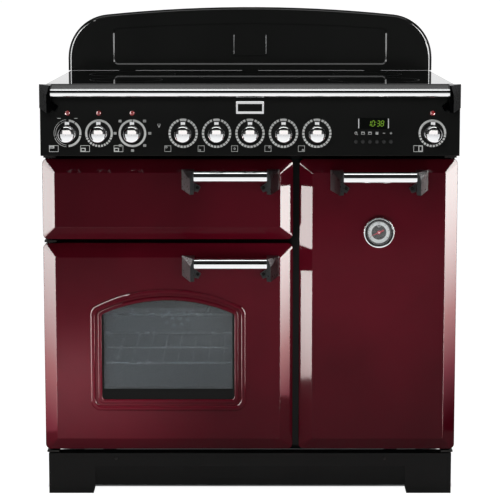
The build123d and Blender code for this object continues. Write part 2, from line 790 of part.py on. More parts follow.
# Clock buttons with a flange behind the panel
for n, button_x in enumerate(BUTTON_XS, start=1):
    with BuildPart() as button:
        rod_y(button_x, BUTTON_Z, PANEL_FACE_Y - BUTTON_PROUD, PANEL_BACK_Y + BUTTON_STEM, BUTTON_RADIUS)
        caps = button.edges().filter_by_position(
            Axis.Y, PANEL_FACE_Y - BUTTON_PROUD - LOOSE_GAP, PANEL_FACE_Y - BUTTON_PROUD + LOOSE_GAP
        )
        fillet(caps, BUTTON_ROUND)
        rod_y(
            button_x,
            BUTTON_Z,
            PANEL_BACK_Y,
            PANEL_BACK_Y + BUTTON_FLANGE_SHEET,
            BUTTON_RADIUS + BUTTON_FLANGE,
        )
    save(button.part, f"clock_button_{n}")

# Hob frame: trim with a rebate for the glass, and a rear channel under the backguard
HOB_HALF = CASE_HALF
GLASS_HALF = HOB_HALF - HOB_TRIM
GLASS_FRONT_Y = PANEL_FACE_Y + HOB_TRIM
GLASS_BACK_Y = BACK_Y - HOB_REAR
with BuildPart() as hob_frame:
    block(-HOB_HALF, HOB_HALF, PANEL_FACE_Y, BACK_Y, PANEL_TOP, HOB_FRAME_TOP)
    top_edges = hob_frame.edges().filter_by_position(
        Axis.Z, HOB_FRAME_TOP - LOOSE_GAP, HOB_FRAME_TOP + LOOSE_GAP
    )
    chamfer(top_edges.sort_by(Axis.Y)[:-1], HOB_CHAMFER)
    block(
        -GLASS_HALF - LOOSE_GAP,
        GLASS_HALF + LOOSE_GAP,
        GLASS_FRONT_Y - LOOSE_GAP,
        GLASS_BACK_Y + LOOSE_GAP,
        GLASS_BOTTOM,
        HOB_FRAME_TOP,
        mode=Mode.SUBTRACT,
    )
    block(
        -GLASS_HALF + HOB_LEDGE,
        GLASS_HALF - HOB_LEDGE,
        GLASS_FRONT_Y + HOB_LEDGE,
        GLASS_BACK_Y - HOB_LEDGE,
        PANEL_TOP,
        HOB_FRAME_TOP,
        mode=Mode.SUBTRACT,
    )
    block(
        -GLASS_HALF,
        GLASS_HALF,
        GLASS_BACK_Y + HOB_CHANNEL_WALL,
        BACK_Y - HOB_CHANNEL_WALL,
        PANEL_TOP,
        HOB_FRAME_TOP - HOB_CHANNEL_WALL,
        mode=Mode.SUBTRACT,
    )
save(hob_frame.part, "hob_frame")

# Hob glass
with BuildPart() as hob_glass:
    block(-GLASS_HALF, GLASS_HALF, GLASS_FRONT_Y, GLASS_BACK_Y, GLASS_BOTTOM, HOB_HEIGHT)
    rim_edges = hob_glass.edges().filter_by_position(Axis.Z, HOB_HEIGHT - LOOSE_GAP, HOB_HEIGHT + LOOSE_GAP)
    chamfer(rim_edges, HOB_GLASS_PROUD / 2)
save(hob_glass.part, "hob_glass")

# Five induction coils under the glass
COIL_TOP = GLASS_BOTTOM - COIL_GAP
COIL_BOTTOM = COIL_TOP - COIL_THICKNESS
COILS = (
    (-COIL_SPREAD_X, -COIL_SPREAD_Y, SMALL_COIL_RADIUS),
    (-COIL_SPREAD_X, COIL_SPREAD_Y, LARGE_COIL_RADIUS),
    (0, 0, CENTRE_COIL_RADIUS),
    (COIL_SPREAD_X, COIL_SPREAD_Y, SMALL_COIL_RADIUS),
    (COIL_SPREAD_X, -COIL_SPREAD_Y, LARGE_COIL_RADIUS),
)
with BuildPart() as induction_coils:
    for coil_x, coil_y, coil_radius in COILS:
        rod_z(coil_x, coil_y, COIL_BOTTOM, COIL_TOP, coil_radius)
    for coil_x, coil_y, coil_radius in COILS:
        rod_z(coil_x, coil_y, COIL_BOTTOM, COIL_TOP, COIL_EYE_RADIUS, Mode.SUBTRACT)
save(induction_coils.part, "induction_coils")

# Power module: carrier plate between the side panels with two generator boxes, open at the back
with BuildPart() as power_module:
    block(
        -CASE_INNER,
        CASE_INNER,
        -COIL_SPREAD_Y - LARGE_COIL_RADIUS,
        COIL_SPREAD_Y + LARGE_COIL_RADIUS,
        PANEL_TOP - MODULE_SHEET,
        PANEL_TOP,
    )
    block(
        -CENTRE_COIL_RADIUS,
        CENTRE_COIL_RADIUS,
        -COIL_SPREAD_Y,
        COIL_SPREAD_Y,
        PANEL_TOP - MODULE_SHEET,
        COIL_BOTTOM,
    )
    for side in (-1, 1):
        block(
            side * COIL_SPREAD_X - LARGE_COIL_RADIUS,
            side * COIL_SPREAD_X + LARGE_COIL_RADIUS,
            -COIL_SPREAD_Y - LARGE_COIL_RADIUS,
            COIL_SPREAD_Y + LARGE_COIL_RADIUS,
            PANEL_TOP - MODULE_SHEET,
            COIL_BOTTOM,
        )
        block(
            side * MODULE_X - MODULE_WIDTH / 2,
            side * MODULE_X + MODULE_WIDTH / 2,
            -MODULE_LENGTH / 2,
            MODULE_LENGTH / 2,
            PANEL_TOP - MODULE_SHEET - MODULE_HEIGHT,
            PANEL_TOP - MODULE_SHEET,
        )
        block(
            side * MODULE_X - MODULE_WIDTH / 2 + MODULE_WALL,
            side * MODULE_X + MODULE_WIDTH / 2 - MODULE_WALL,
            -MODULE_LENGTH / 2 + MODULE_WALL,
            MODULE_LENGTH / 2,
            PANEL_TOP - MODULE_SHEET - MODULE_HEIGHT + MODULE_WALL,
            PANEL_TOP - MODULE_SHEET - MODULE_WALL,
            mode=Mode.SUBTRACT,
        )
save(power_module.part, "power_module")

# Backguard: shell with a crowned top, round shoulders and a sunk front panel
BACKGUARD_HALF = OVERALL_WIDTH / 2 - BACKGUARD_INSET
SHOULDER_Z = BACKGUARD_TOP - BACKGUARD_CROWN
with BuildPart() as backguard:
    with BuildSketch(front_plane(BACK_Y)) as outline:
        with BuildLine():
            Polyline(
                (-BACKGUARD_HALF, SHOULDER_Z),
                (-BACKGUARD_HALF, BACKGUARD_BOTTOM),
                (BACKGUARD_HALF, BACKGUARD_BOTTOM),
                (BACKGUARD_HALF, SHOULDER_Z),
            )
            ThreePointArc((BACKGUARD_HALF, SHOULDER_Z), (0, BACKGUARD_TOP), (-BACKGUARD_HALF, SHOULDER_Z))
        make_face()
        fillet(outline.vertices().group_by(Axis.Y)[-1], BACKGUARD_CORNER)
    extrude(amount=BACKGUARD_DEPTH)
    face_edges = backguard.edges().filter_by_position(
        Axis.Y, BACKGUARD_FRONT_Y - LOOSE_GAP, BACKGUARD_FRONT_Y + LOOSE_GAP
    )
    fillet(face_edges.sort_by(Axis.Z)[1:], BACKGUARD_EDGE)
    with BuildSketch(front_plane(BACK_Y)) as hollow:
        add(outline.sketch_local)
        offset(amount=-BACKGUARD_WALL, kind=Kind.INTERSECTION, mode=Mode.REPLACE)
    extrude(amount=BACKGUARD_DEPTH - BACKGUARD_SHEET, mode=Mode.SUBTRACT)
    sunk_half = BACKGUARD_HALF - SUNK_PANEL_INSET
    sunk_low = BACKGUARD_BOTTOM + SUNK_PANEL_BASE
    sunk_high = BACKGUARD_TOP - SUNK_PANEL_TOP_INSET
    sunk_shoulder = sunk_high - SUNK_PANEL_CROWN
    with BuildSketch(front_plane(BACKGUARD_FRONT_Y)) as sunk:
        with BuildLine():
            Polyline(
                (-sunk_half, sunk_shoulder),
                (-sunk_half, sunk_low),
                (sunk_half, sunk_low),
                (sunk_half, sunk_shoulder),
            )
            ThreePointArc((sunk_half, sunk_shoulder), (0, sunk_high), (-sunk_half, sunk_shoulder))
        make_face()
        fillet(sunk.vertices(), SUNK_PANEL_CORNER)
    extrude(amount=-PANEL_SINK, mode=Mode.SUBTRACT)
    for foot_x in (-BACKGUARD_FOOT_X, 0, BACKGUARD_FOOT_X):
        block(
            foot_x - BACKGUARD_FOOT / 2,
            foot_x + BACKGUARD_FOOT / 2,
            BACK_Y - BACKGUARD_DEPTH / 2,
            BACK_Y,
            HOB_FRAME_TOP,
            BACKGUARD_BOTTOM,
        )
save(backguard.part, "backguard")


def make_bracket_pair(name, x0, x1, face_y, bar_z, radius, reach, stand_off, top, foot, nose):
    """Two faceted brackets that carry a bar between x0 and x1, mirrored about its middle.

    Radius is the bar's. Heights are from the bar's axis: top is up to the wall's top, foot
    and nose are down to the bottom of the wall and of the front ridge.
    """
    inner_x = x0 + BRACKET_WIDTH
    lobe_z = bar_z - foot + LOBE_RISE
    front_top = bar_z + top - FACET_DROP
    with BuildPart() as one:
        with BuildSketch(Plane.XY.offset(bar_z - nose)):
            with BuildLine():
                Polyline(
                    (x0, face_y),
                    (x0 + BRACKET_RIDGE, face_y - reach),
                    (inner_x, face_y - reach + BRACKET_NOSE),
                    (inner_x, face_y),
                    close=True,
                )
            make_face()
        extrude(amount=top + nose)
        with BuildSketch(Plane.YZ.offset(x0)):
            with BuildLine():
                Polyline(
                    (face_y, bar_z + top),
                    (face_y, bar_z - foot),
                    (face_y - reach, bar_z - nose),
                    (face_y - reach, front_top),
                    close=True,
                )
            make_face()
        extrude(amount=BRACKET_WIDTH, mode=Mode.INTERSECT)
        low_back = Vector(x0, face_y, bar_z + top - FACET_DROP)
        ridge = Vector(x0 + BRACKET_RIDGE, face_y - reach, bar_z - BRACKET_NOSE)
        inner = Vector(inner_x - FACET_INSET, face_y - reach + BRACKET_NOSE - FACET_DROP, front_top)
        up = (inner - low_back).cross(ridge - low_back)
        if up.Z < 0:
            up = up * -1
        split(bisect_by=Plane(origin=low_back, z_dir=up), keep=Keep.BOTTOM)
        with BuildSketch(front_plane(face_y)):
            with BuildLine():
                Polyline(
                    (inner_x - LOBE_ROOT, lobe_z + LOBE_TOP),
                    (inner_x + LOBE_REACH, lobe_z + LOBE_TIP),
                    (inner_x + LOBE_TOE_REACH, lobe_z - LOBE_TOE_DROP),
                    (inner_x - LOBE_ROOT, lobe_z - LOBE_ROOT),
                    close=True,
                )
            make_face()
        extrude(amount=LOBE_THICKNESS)
        rod_y(
            inner_x + LOBE_HOLE_REACH,
            lobe_z + LOBE_HOLE_RISE,
            face_y - 1.5 * LOBE_THICKNESS,
            face_y - LOBE_THICKNESS / 2,
            LOBE_HOLE_RADIUS,
            Mode.SUBTRACT,
        )
        rod(
            "x",
            inner_x + SPIGOT_LENGTH / 2,
            face_y - stand_off,
            bar_z,
            radius - BAR_WALL - FIT_GAP,
            SPIGOT_LENGTH,
        )
    with BuildPart() as pair:
        add(one.part)
        mirror(about=Plane.YZ.offset((x0 + x1) / 2))
    save(pair.part, name)


def make_bar(name, x0, x1, y, z, radius):
    """A tube between two brackets, sleeved over their spigots."""
    with BuildPart() as bar:
        middle = (x0 + x1) / 2
        length = x1 - x0 - 2 * BRACKET_WIDTH
        rod("x", middle, y, z, radius, length)
        rod("x", middle, y, z, radius - BAR_WALL, length, Mode.SUBTRACT)
    save(bar.part, name)


# Handrail across the front of the hob
make_bar("handrail", -OVERALL_WIDTH / 2, OVERALL_WIDTH / 2, RAIL_Y, RAIL_Z, RAIL_RADIUS)
make_bracket_pair(
    "handrail_brackets",
    -OVERALL_WIDTH / 2,
    OVERALL_WIDTH / 2,
    PANEL_FACE_Y,
    RAIL_Z,
    RAIL_RADIUS,
    RAIL_REACH,
    RAIL_STAND_OFF,
    RAIL_DROP,
    RAIL_FOOT,
    RAIL_NOSE,
)


def make_cavity(name, mouth, ledge_rises, fan_z=None):
    """An enamelled box open at the front, with shelf ledges and, for an oven, a fan baffle."""
    x0, x1, z0, z1 = mouth
    middle = (x0 + x1) / 2
    with BuildPart() as cavity:
        block(
            x0 - CAVITY_SHEET,
            x1 + CAVITY_SHEET,
            FRAME_BACK_Y,
            CAVITY_BACK_Y + CAVITY_SHEET,
            z0 - CAVITY_SHEET,
            z1 + CAVITY_SHEET,
        )
        block(
            x0 - CAVITY_FLANGE,
            x1 + CAVITY_FLANGE,
            FRAME_BACK_Y,
            FRAME_BACK_Y + CAVITY_SHEET,
            z0 - CAVITY_FLANGE,
            z1 + CAVITY_FLANGE,
        )
        block(x0, x1, FRAME_BACK_Y, CAVITY_BACK_Y, z0, z1, mode=Mode.SUBTRACT)
        for rise in ledge_rises:
            ledge_top = z0 + rise
            for side_x in (x0, x1 - LEDGE_WIDTH):
                block(
                    side_x,
                    side_x + LEDGE_WIDTH,
                    FRAME_BACK_Y + LEDGE_FRONT,
                    BAFFLE_Y - LEDGE_FRONT,
                    ledge_top - LEDGE_THICKNESS,
                    ledge_top,
                )
        if fan_z is not None:
            rod_y(
                middle,
                fan_z,
                CAVITY_BACK_Y,
                CAVITY_BACK_Y + CAVITY_SHEET,
                SHAFT_RADIUS + SHAFT_HOLE_GAP,
                Mode.SUBTRACT,
            )
    with BuildPart() as whole:
        add(cavity.part)
        if fan_z is not None:
            block(
                x0 + BAFFLE_GAP,
                x1 - BAFFLE_GAP,
                BAFFLE_Y,
                BAFFLE_Y + BAFFLE_SHEET,
                z0 + BAFFLE_GAP,
                z1 - BAFFLE_GAP,
            )
            with Locations(Location((middle, BAFFLE_Y, fan_z), ALONG["y"])):
                for ring in BAFFLE_HOLE_RINGS:
                    with PolarLocations(ring, round(ring / 3)):
                        Cylinder(BAFFLE_HOLE, 4 * BAFFLE_SHEET, mode=Mode.SUBTRACT)
            for post_x in (x0 + STAND_OFF_INSET, x1 - STAND_OFF_INSET):
                for post_z in (z0 + STAND_OFF_INSET, z1 - STAND_OFF_INSET):
                    rod_y(post_x, post_z, BAFFLE_Y + BAFFLE_SHEET / 2, CAVITY_BACK_Y - FIT_GAP, STAND_OFF_RADIUS)
    save(whole.part, name)


make_cavity("grill_cavity", GRILL_MOUTH, (PAN_LEDGE_RISE,))
make_cavity("left_oven_cavity", LEFT_MOUTH, LEFT_SHELF_RISES, LEFT_FAN_Z)
make_cavity("right_oven_cavity", RIGHT_MOUTH, RIGHT_SHELF_RISES, RIGHT_FAN_Z)

# Wire racks on the ledges
RACK_FRONT_Y = FRAME_BACK_Y + LEDGE_FRONT + RACK_ROD
RACK_BACK_Y = BAFFLE_Y - LEDGE_FRONT - RACK_ROD


def lay_rack(mouth, rise):
    """One wire rack: a heavy rod frame with thin wires from front to back."""
    x0 = mouth[0] + RACK_SIDE_GAP
    x1 = mouth[1] - RACK_SIDE_GAP
    z = mouth[2] + rise + RACK_ROD + FIT_GAP
    middle_y = (RACK_FRONT_Y + RACK_BACK_Y) / 2
    for y in (RACK_FRONT_Y, RACK_BACK_Y):
        rod("x", (x0 + x1) / 2, y, z, RACK_ROD, x1 - x0)
    for x in (x0 + RACK_ROD, x1 - RACK_ROD):
        rod_y(x, z, RACK_FRONT_Y, RACK_BACK_Y, RACK_SIDE_ROD)
    count = round((x1 - x0) / RACK_PITCH)
    pitch = (x1 - x0) / count
    for n in range(1, count):
        rod_y(x0 + n * pitch, z, RACK_FRONT_Y, RACK_BACK_Y, RACK_WIRE)
    rod("x", (x0 + x1) / 2, middle_y, z, RACK_CROSS_BAR, x1 - x0 - 2 * RACK_ROD)


with BuildPart() as oven_racks:
    for shelf_rise in LEFT_SHELF_RISES:
        lay_rack(LEFT_MOUTH, shelf_rise)
    for shelf_rise in RIGHT_SHELF_RISES[:2]:
        lay_rack(RIGHT_MOUTH, shelf_rise)
save(oven_racks.part, "oven_racks")

# Grill pan on its ledges
PAN_Z = GRILL_MOUTH[2] + PAN_LEDGE_RISE
PAN_X0 = GRILL_MOUTH[0] + PAN_SIDE_GAP
PAN_X1 = GRILL_MOUTH[1] - PAN_SIDE_GAP
PAN_Y0 = FRAME_BACK_Y + LEDGE_FRONT
with BuildPart() as grill_pan:
    block(PAN_X0, PAN_X1, PAN_Y0, PAN_Y0 + PAN_LENGTH, PAN_Z, PAN_Z + PAN_HEIGHT)
    corners = grill_pan.edges().filter_by(Axis.Z)
    fillet(corners, PAN_CORNER)
    block(
        PAN_X0 + PAN_RIM,
        PAN_X1 - PAN_RIM,
        PAN_Y0 + PAN_RIM,
        PAN_Y0 + PAN_LENGTH - PAN_RIM,
        PAN_Z + PAN_SHEET,
        PAN_Z + PAN_HEIGHT,
        mode=Mode.SUBTRACT,
    )
save(grill_pan.part, "grill_pan")

# Heating elements: grill serpentine under its roof and a ring round each oven fan
GRILL_ELEMENT_Z = GRILL_MOUTH[3] - GRILL_ELEMENT_DROP
ELEMENT_X0 = GRILL_MOUTH[0] + GRILL_ELEMENT_MARGIN
ELEMENT_PITCH = (GRILL_MOUTH[1] - GRILL_MOUTH[0] - 2 * GRILL_ELEMENT_MARGIN) / (GRILL_ELEMENT_RUNS - 1)
ELEMENT_FRONT_Y = FRAME_BACK_Y + GRILL_ELEMENT_MARGIN
ELEMENT_TURN_Y = CAVITY_BACK_Y - GRILL_ELEMENT_MARGIN
RING_Y = BAFFLE_Y + BAFFLE_SPACE / 2
with BuildPart() as heating_elements:
    with BuildLine() as serpentine:
        turns = []
        for run in range(GRILL_ELEMENT_RUNS):
            run_x = ELEMENT_X0 + run * ELEMENT_PITCH
            near = (run_x, ELEMENT_FRONT_Y, GRILL_ELEMENT_Z)
            far_y = CAVITY_BACK_Y - FIT_GAP if run in (0, GRILL_ELEMENT_RUNS - 1) else ELEMENT_TURN_Y
            far = (run_x, far_y, GRILL_ELEMENT_Z)
            turns += [far, near] if run % 2 == 0 else [near, far]
        FilletPolyline(*turns, radius=ELEMENT_PITCH / 3)
    with BuildSketch(front_plane(CAVITY_BACK_Y - FIT_GAP)):
        with Locations((ELEMENT_X0, GRILL_ELEMENT_Z)):
            Circle(ELEMENT_TUBE)
    sweep(path=serpentine.wires()[0])
    for mouth, fan_z in ((LEFT_MOUTH, LEFT_FAN_Z), (RIGHT_MOUTH, RIGHT_FAN_Z)):
        ring_x = (mouth[0] + mouth[1]) / 2
        leg_z = fan_z - math.sqrt(RING_ELEMENT_RADIUS**2 - ELEMENT_LEG_SPREAD**2)
        with BuildLine(front_plane(RING_Y)) as ring:
            ThreePointArc(
                (ring_x + ELEMENT_LEG_SPREAD, leg_z),
                (ring_x, fan_z + RING_ELEMENT_RADIUS),
                (ring_x - ELEMENT_LEG_SPREAD, leg_z),
            )
        with BuildSketch(Plane(origin=ring.line @ 0, z_dir=ring.line % 0)):
            Circle(ELEMENT_TUBE)
        sweep(path=ring.line)
        for side in (-1, 1):
            with Locations((ring_x + side * ELEMENT_LEG_SPREAD, RING_Y, leg_z)):
                Sphere(ELEMENT_KNEE)
            rod_y(
                ring_x + side * ELEMENT_LEG_SPREAD,
                leg_z,
                RING_Y,
                CAVITY_BACK_Y - FIT_GAP,
                ELEMENT_LEG,
            )
save(heating_elements.part, "heating_elements")


def make_fan(name, x, z):
    """A fan wheel with straight blades and its shaft through the cavity's back wall."""
    back_y = CAVITY_BACK_Y - FAN_WALL_GAP
    front_y = back_y - FAN_DEPTH
    with BuildPart() as fan:
        rod_y(x, z, back_y - FAN_SHEET, back_y, FAN_RADIUS)
        rod_y(x, z, front_y, back_y, FAN_HUB_RADIUS)
        blade_length = FAN_RADIUS / 2
        blade_radius = FAN_RADIUS - blade_length / 2
        for n in range(FAN_BLADES):
            turn = 360 * n / FAN_BLADES
            blade_x = x + blade_radius * math.cos(math.radians(turn))
            blade_z = z - blade_radius * math.sin(math.radians(turn))
            with Locations(Location((blade_x, (front_y + back_y) / 2, blade_z), (0, turn, 0))):
                Box(blade_length, FAN_DEPTH, FAN_SHEET)
        motor_y = CAVITY_BACK_Y + CAVITY_SHEET
        rod_y(x, z, front_y, motor_y + SHAFT_IN_MOTOR, SHAFT_RADIUS)
    save(fan.part, name)


make_fan("left_oven_fan", LEFT_MID, LEFT_FAN_Z)
make_fan("right_oven_fan", RIGHT_MID, RIGHT_FAN_Z)

# Fan motors behind the ovens
with BuildPart() as fan_motors:
    motor_front = CAVITY_BACK_Y + CAVITY_SHEET
    for x, z in ((LEFT_MID, LEFT_FAN_Z), (RIGHT_MID, RIGHT_FAN_Z)):
        block(
            x - MOTOR_PLATE / 2,
            x + MOTOR_PLATE / 2,
            motor_front,
            motor_front + MOTOR_PLATE_SHEET,
            z - MOTOR_PLATE / 2,
            z + MOTOR_PLATE / 2,
        )
        rod_y(x, z, motor_front, motor_front + MOTOR_LENGTH, MOTOR_RADIUS)
        rod_y(
            x, z, motor_front, motor_front + SHAFT_IN_MOTOR + LOOSE_GAP, SHAFT_RADIUS + FIT_GAP, Mode.SUBTRACT
        )
save(fan_motors.part, "fan_motors")

# Door seals round the cavity mouths
with BuildPart() as door_seals:
    for mouth in (LEFT_MOUTH, GRILL_MOUTH, RIGHT_MOUTH):
        seal_mid = ((mouth[0] + mouth[1]) / 2, (mouth[2] + mouth[3]) / 2)
        inner_width = mouth[1] - mouth[0] + 2 * SEAL_OFFSET
        inner_height = mouth[3] - mouth[2] + 2 * SEAL_OFFSET
        with BuildSketch(front_plane(FRAME_FACE_Y)):
            with Locations(seal_mid):
                RectangleRounded(inner_width + 2 * SEAL_WIDTH, inner_height + 2 * SEAL_WIDTH, 2 * SEAL_WIDTH)
                RectangleRounded(inner_width, inner_height, SEAL_WIDTH, mode=Mode.SUBTRACT)
        extrude(amount=SEAL_THICKNESS)
save(door_seals.part, "door_seals")

# Hinge plates with pins, in the gaps above, between and below the doors
HINGES = (
    (LEFT_PIN_X, DOOR_TOP, PANEL_BOTTOM, True, False),
    (LEFT_PIN_X, OVEN_DOOR_TOP, GRILL_DOOR_BOTTOM, True, True),
    (LEFT_PIN_X, PLINTH_HEIGHT, DOOR_BOTTOM, False, True),
    (RIGHT_PIN_X, DOOR_TOP, PANEL_BOTTOM, True, False),
    (RIGHT_PIN_X, PLINTH_HEIGHT, DOOR_BOTTOM, False, True),
)
with BuildPart() as hinge_plates:
    for pin_x, gap_low, gap_high, reaches_down, reaches_up in HINGES:
        plate_low = (gap_low + gap_high - HINGE_PLATE) / 2
        block(
            pin_x - HINGE_PLATE_WIDTH / 2,
            pin_x + HINGE_PLATE_WIDTH / 2,
            PIN_Y - HINGE_PLATE_NOSE,
            FRAME_FACE_Y,
            plate_low,
            plate_low + HINGE_PLATE,
        )
        pin_low = gap_low - PIN_REACH if reaches_down else plate_low
        pin_high = gap_high + PIN_REACH if reaches_up else plate_low + HINGE_PLATE
        rod_z(pin_x, PIN_Y, pin_low, pin_high, PIN_RADIUS)
save(hinge_plates.part, "hinge_plates")


def window_outline(middle, bottom, grow):
    """The arched window of a door in the flat, with rounded corners, grown on all sides."""
    half = WINDOW_WIDTH / 2 + grow
    sill = bottom + WINDOW_SILL
    shoulder = sill + WINDOW_SIDE_HEIGHT + grow / 2
    crown = sill + WINDOW_SIDE_HEIGHT + WINDOW_CROWN_RISE + grow
    with BuildSketch() as arch:
        with BuildLine():
            Polyline(
                (middle - half, shoulder),
                (middle - half, sill - grow),
                (middle + half, sill - grow),
                (middle + half, shoulder),
            )
            ThreePointArc((middle + half, shoulder), (middle, crown), (middle - half, shoulder))
        make_face()
        fillet(arch.vertices(), WINDOW_CORNER + MOULDING_CORNER_GROWTH * grow)
    return arch.sketch


def make_door_skin(name, x0, x1, z0, z1, pin_x, window=False, gauge=False):
    """A pressed door front: deep rim, bevel all round and a flat face, hollow at the back."""
    width = x1 - x0
    height = z1 - z0
    middle = ((x0 + x1) / 2, (z0 + z1) / 2)
    with BuildPart() as skin:
        with BuildSketch(front_plane(DOOR_BACK_Y)):
            with Locations(middle):
                RectangleRounded(width, height, DOOR_CORNER)
        extrude(amount=DOOR_RIM)
        with BuildSketch(front_plane(RIM_FRONT_Y)):
            with Locations(middle):
                RectangleRounded(width, height, DOOR_CORNER)
        with BuildSketch(front_plane(DOOR_FACE_Y)):
            with Locations(middle):
                RectangleRounded(width - 2 * BEVEL_WIDTH, height - 2 * BEVEL_WIDTH, FACE_CORNER)
        loft(ruled=True)
        face_edges = skin.edges().filter_by_position(
            Axis.Y, DOOR_FACE_Y - LOOSE_GAP, DOOR_FACE_Y + LOOSE_GAP
        )
        fillet(face_edges, EDGE_ROUND)
        rim_edges = skin.edges().filter_by_position(Axis.Y, RIM_FRONT_Y - FIT_GAP, RIM_FRONT_Y + FIT_GAP)
        fillet(rim_edges, EDGE_ROUND)
        if window:
            beads = (
                (MOULDING_WIDTH, MOULDING_WIDTH - OUTER_BEAD_WIDTH, OUTER_BEAD_RISE),
                (INNER_BEAD_WIDTH, 0, INNER_BEAD_RISE),
            )
            for outer, inner, rise in beads:
                with BuildSketch(front_plane(DOOR_FACE_Y + DOOR_SHEET / 2)):
                    add(window_outline(middle[0], z0, outer))
                    add(window_outline(middle[0], z0, inner), mode=Mode.SUBTRACT)
                extrude(amount=rise + DOOR_SHEET / 2)
                bead_edges = skin.edges().filter_by_position(
                    Axis.Y, DOOR_FACE_Y - rise - FIT_GAP, DOOR_FACE_Y - rise + FIT_GAP
                )
                fillet(bead_edges, rise * 0.8)
            with BuildSketch(front_plane(DOOR_BACK_Y)):
                add(window_outline(middle[0], z0, 0))
            extrude(amount=DOOR_BACK_Y - FRONT_Y, mode=Mode.SUBTRACT)
        if gauge:
            rod_y(
                middle[0], GAUGE_Z, DOOR_FACE_Y, DOOR_BACK_Y, GAUGE_STEM_RADIUS + LOOSE_GAP, Mode.SUBTRACT
            )
        with BuildSketch(front_plane(DOOR_BACK_Y)):
            with Locations(middle):
                RectangleRounded(width - 2 * DOOR_SHEET, height - 2 * DOOR_SHEET, DOOR_CORNER - DOOR_SHEET)
        extrude(amount=DOOR_RIM - DOOR_SHEET, mode=Mode.SUBTRACT)
        slope = math.hypot(BEVEL_WIDTH, BEVEL_DEPTH)
        back_inset = DOOR_SHEET * slope / BEVEL_DEPTH
        face_inset = BEVEL_WIDTH + DOOR_SHEET * (slope - BEVEL_WIDTH) / BEVEL_DEPTH
        with BuildSketch(front_plane(RIM_FRONT_Y + DOOR_SHEET)):
            with Locations(middle):
                RectangleRounded(width - 2 * back_inset, height - 2 * back_inset, DOOR_CORNER - DOOR_SHEET)
        with BuildSketch(front_plane(DOOR_FACE_Y + DOOR_SHEET)):
            with Locations(middle):
                RectangleRounded(width - 2 * face_inset, height - 2 * face_inset, FACE_CORNER)
        loft(ruled=True, mode=Mode.SUBTRACT)
        rod_z(pin_x, PIN_Y, z0, z1, PIN_RADIUS + PIN_WALL_GAP, Mode.SUBTRACT)
    save(skin.part, name)


def make_door_liner(name, x0, x1, z0, z1, pin_x, window=False):
    """The inner panel that closes a door, with a bored hinge block at its top and bottom."""
    fit = DOOR_SHEET + LOOSE_GAP
    plate_front = DOOR_BACK_Y - LINER_SHEET
    with BuildPart() as liner:
        with BuildSketch(front_plane(DOOR_BACK_Y)):
            with Locations(((x0 + x1) / 2, (z0 + z1) / 2)):
                RectangleRounded(x1 - x0 - 2 * fit, z1 - z0 - 2 * fit, DOOR_CORNER - DOOR_SHEET)
        extrude(amount=LINER_SHEET)
        if window:
            low = z0 + WINDOW_SILL + LINER_WINDOW_MARGIN
            block(
                LEFT_MID - WINDOW_WIDTH / 2 + LINER_WINDOW_MARGIN,
                LEFT_MID + WINDOW_WIDTH / 2 - LINER_WINDOW_MARGIN,
                plate_front,
                DOOR_BACK_Y,
                low,
                low + WINDOW_SIDE_HEIGHT,
                mode=Mode.SUBTRACT,
            )
        for block_z in (z0 + fit, z1 - fit - PIN_REACH):
            block(
                pin_x - PIN_BLOCK / 2,
                pin_x + PIN_BLOCK / 2,
                PIN_Y - PIN_BLOCK / 2,
                plate_front,
                block_z,
                block_z + PIN_REACH,
            )
        rod_z(pin_x, PIN_Y, z0, z1, PIN_RADIUS + FIT_GAP, Mode.SUBTRACT)
    save(liner.part, name)


# The three doors: skin, liner, handle bar and brackets
DOORS = (
    ("grill_door", *LEFT_DOOR, GRILL_DOOR_BOTTOM, DOOR_TOP, LEFT_PIN_X, LEFT_HANDLE_X, GRILL_BAR_DROP),
    ("left_door", *LEFT_DOOR, DOOR_BOTTOM, OVEN_DOOR_TOP, LEFT_PIN_X, LEFT_HANDLE_X, LEFT_BAR_DROP),
    ("right_door", *RIGHT_DOOR, DOOR_BOTTOM, DOOR_TOP, RIGHT_PIN_X, RIGHT_HANDLE_X, RIGHT_BAR_DROP),
)
for door, door_x0, door_x1, door_z0, door_z1, door_pin_x, handle_x, bar_drop in DOORS:
    has_window = door == "left_door"
    make_door_skin(
        f"{door}_skin", door_x0, door_x1, door_z0, door_z1, door_pin_x, has_window, door == "right_door"
    )
    make_door_liner(f"{door}_liner", door_x0, door_x1, door_z0, door_z1, door_pin_x, has_window)
    bar_z = door_z1 - bar_drop
    make_bar(f"{door}_bar", handle_x, handle_x + HANDLE_LENGTH, BAR_Y, bar_z, BAR_RADIUS)
    make_bracket_pair(
        f"{door}_brackets",
        handle_x,
        handle_x + HANDLE_LENGTH,
        DOOR_FACE_Y,
        bar_z,
        BAR_RADIUS,
        HANDLE_REACH,
        BAR_STAND_OFF,
        HANDLE_TOP,
        HANDLE_FOOT,
        HANDLE_NOSE,
    )

# Window glass of the left oven door: outer pane behind the skin, inner pane on the liner
with BuildPart() as left_door_glass:
    pane_low = DOOR_BOTTOM + WINDOW_SILL - GLASS_MARGIN
    pane_high = DOOR_BOTTOM + WINDOW_SILL + WINDOW_SIDE_HEIGHT + WINDOW_CROWN_RISE + GLASS_MARGIN
    pane_half = WINDOW_WIDTH / 2 + GLASS_MARGIN
    for pane_front in (DOOR_FACE_Y + DOOR_SHEET, DOOR_BACK_Y - LINER_SHEET - GLASS_THICKNESS):
        block(
            LEFT_MID - pane_half,
            LEFT_MID + pane_half,
            pane_front,
            pane_front + GLASS_THICKNESS,
            pane_low,
            pane_high,
        )
save(left_door_glass.part, "left_door_glass")

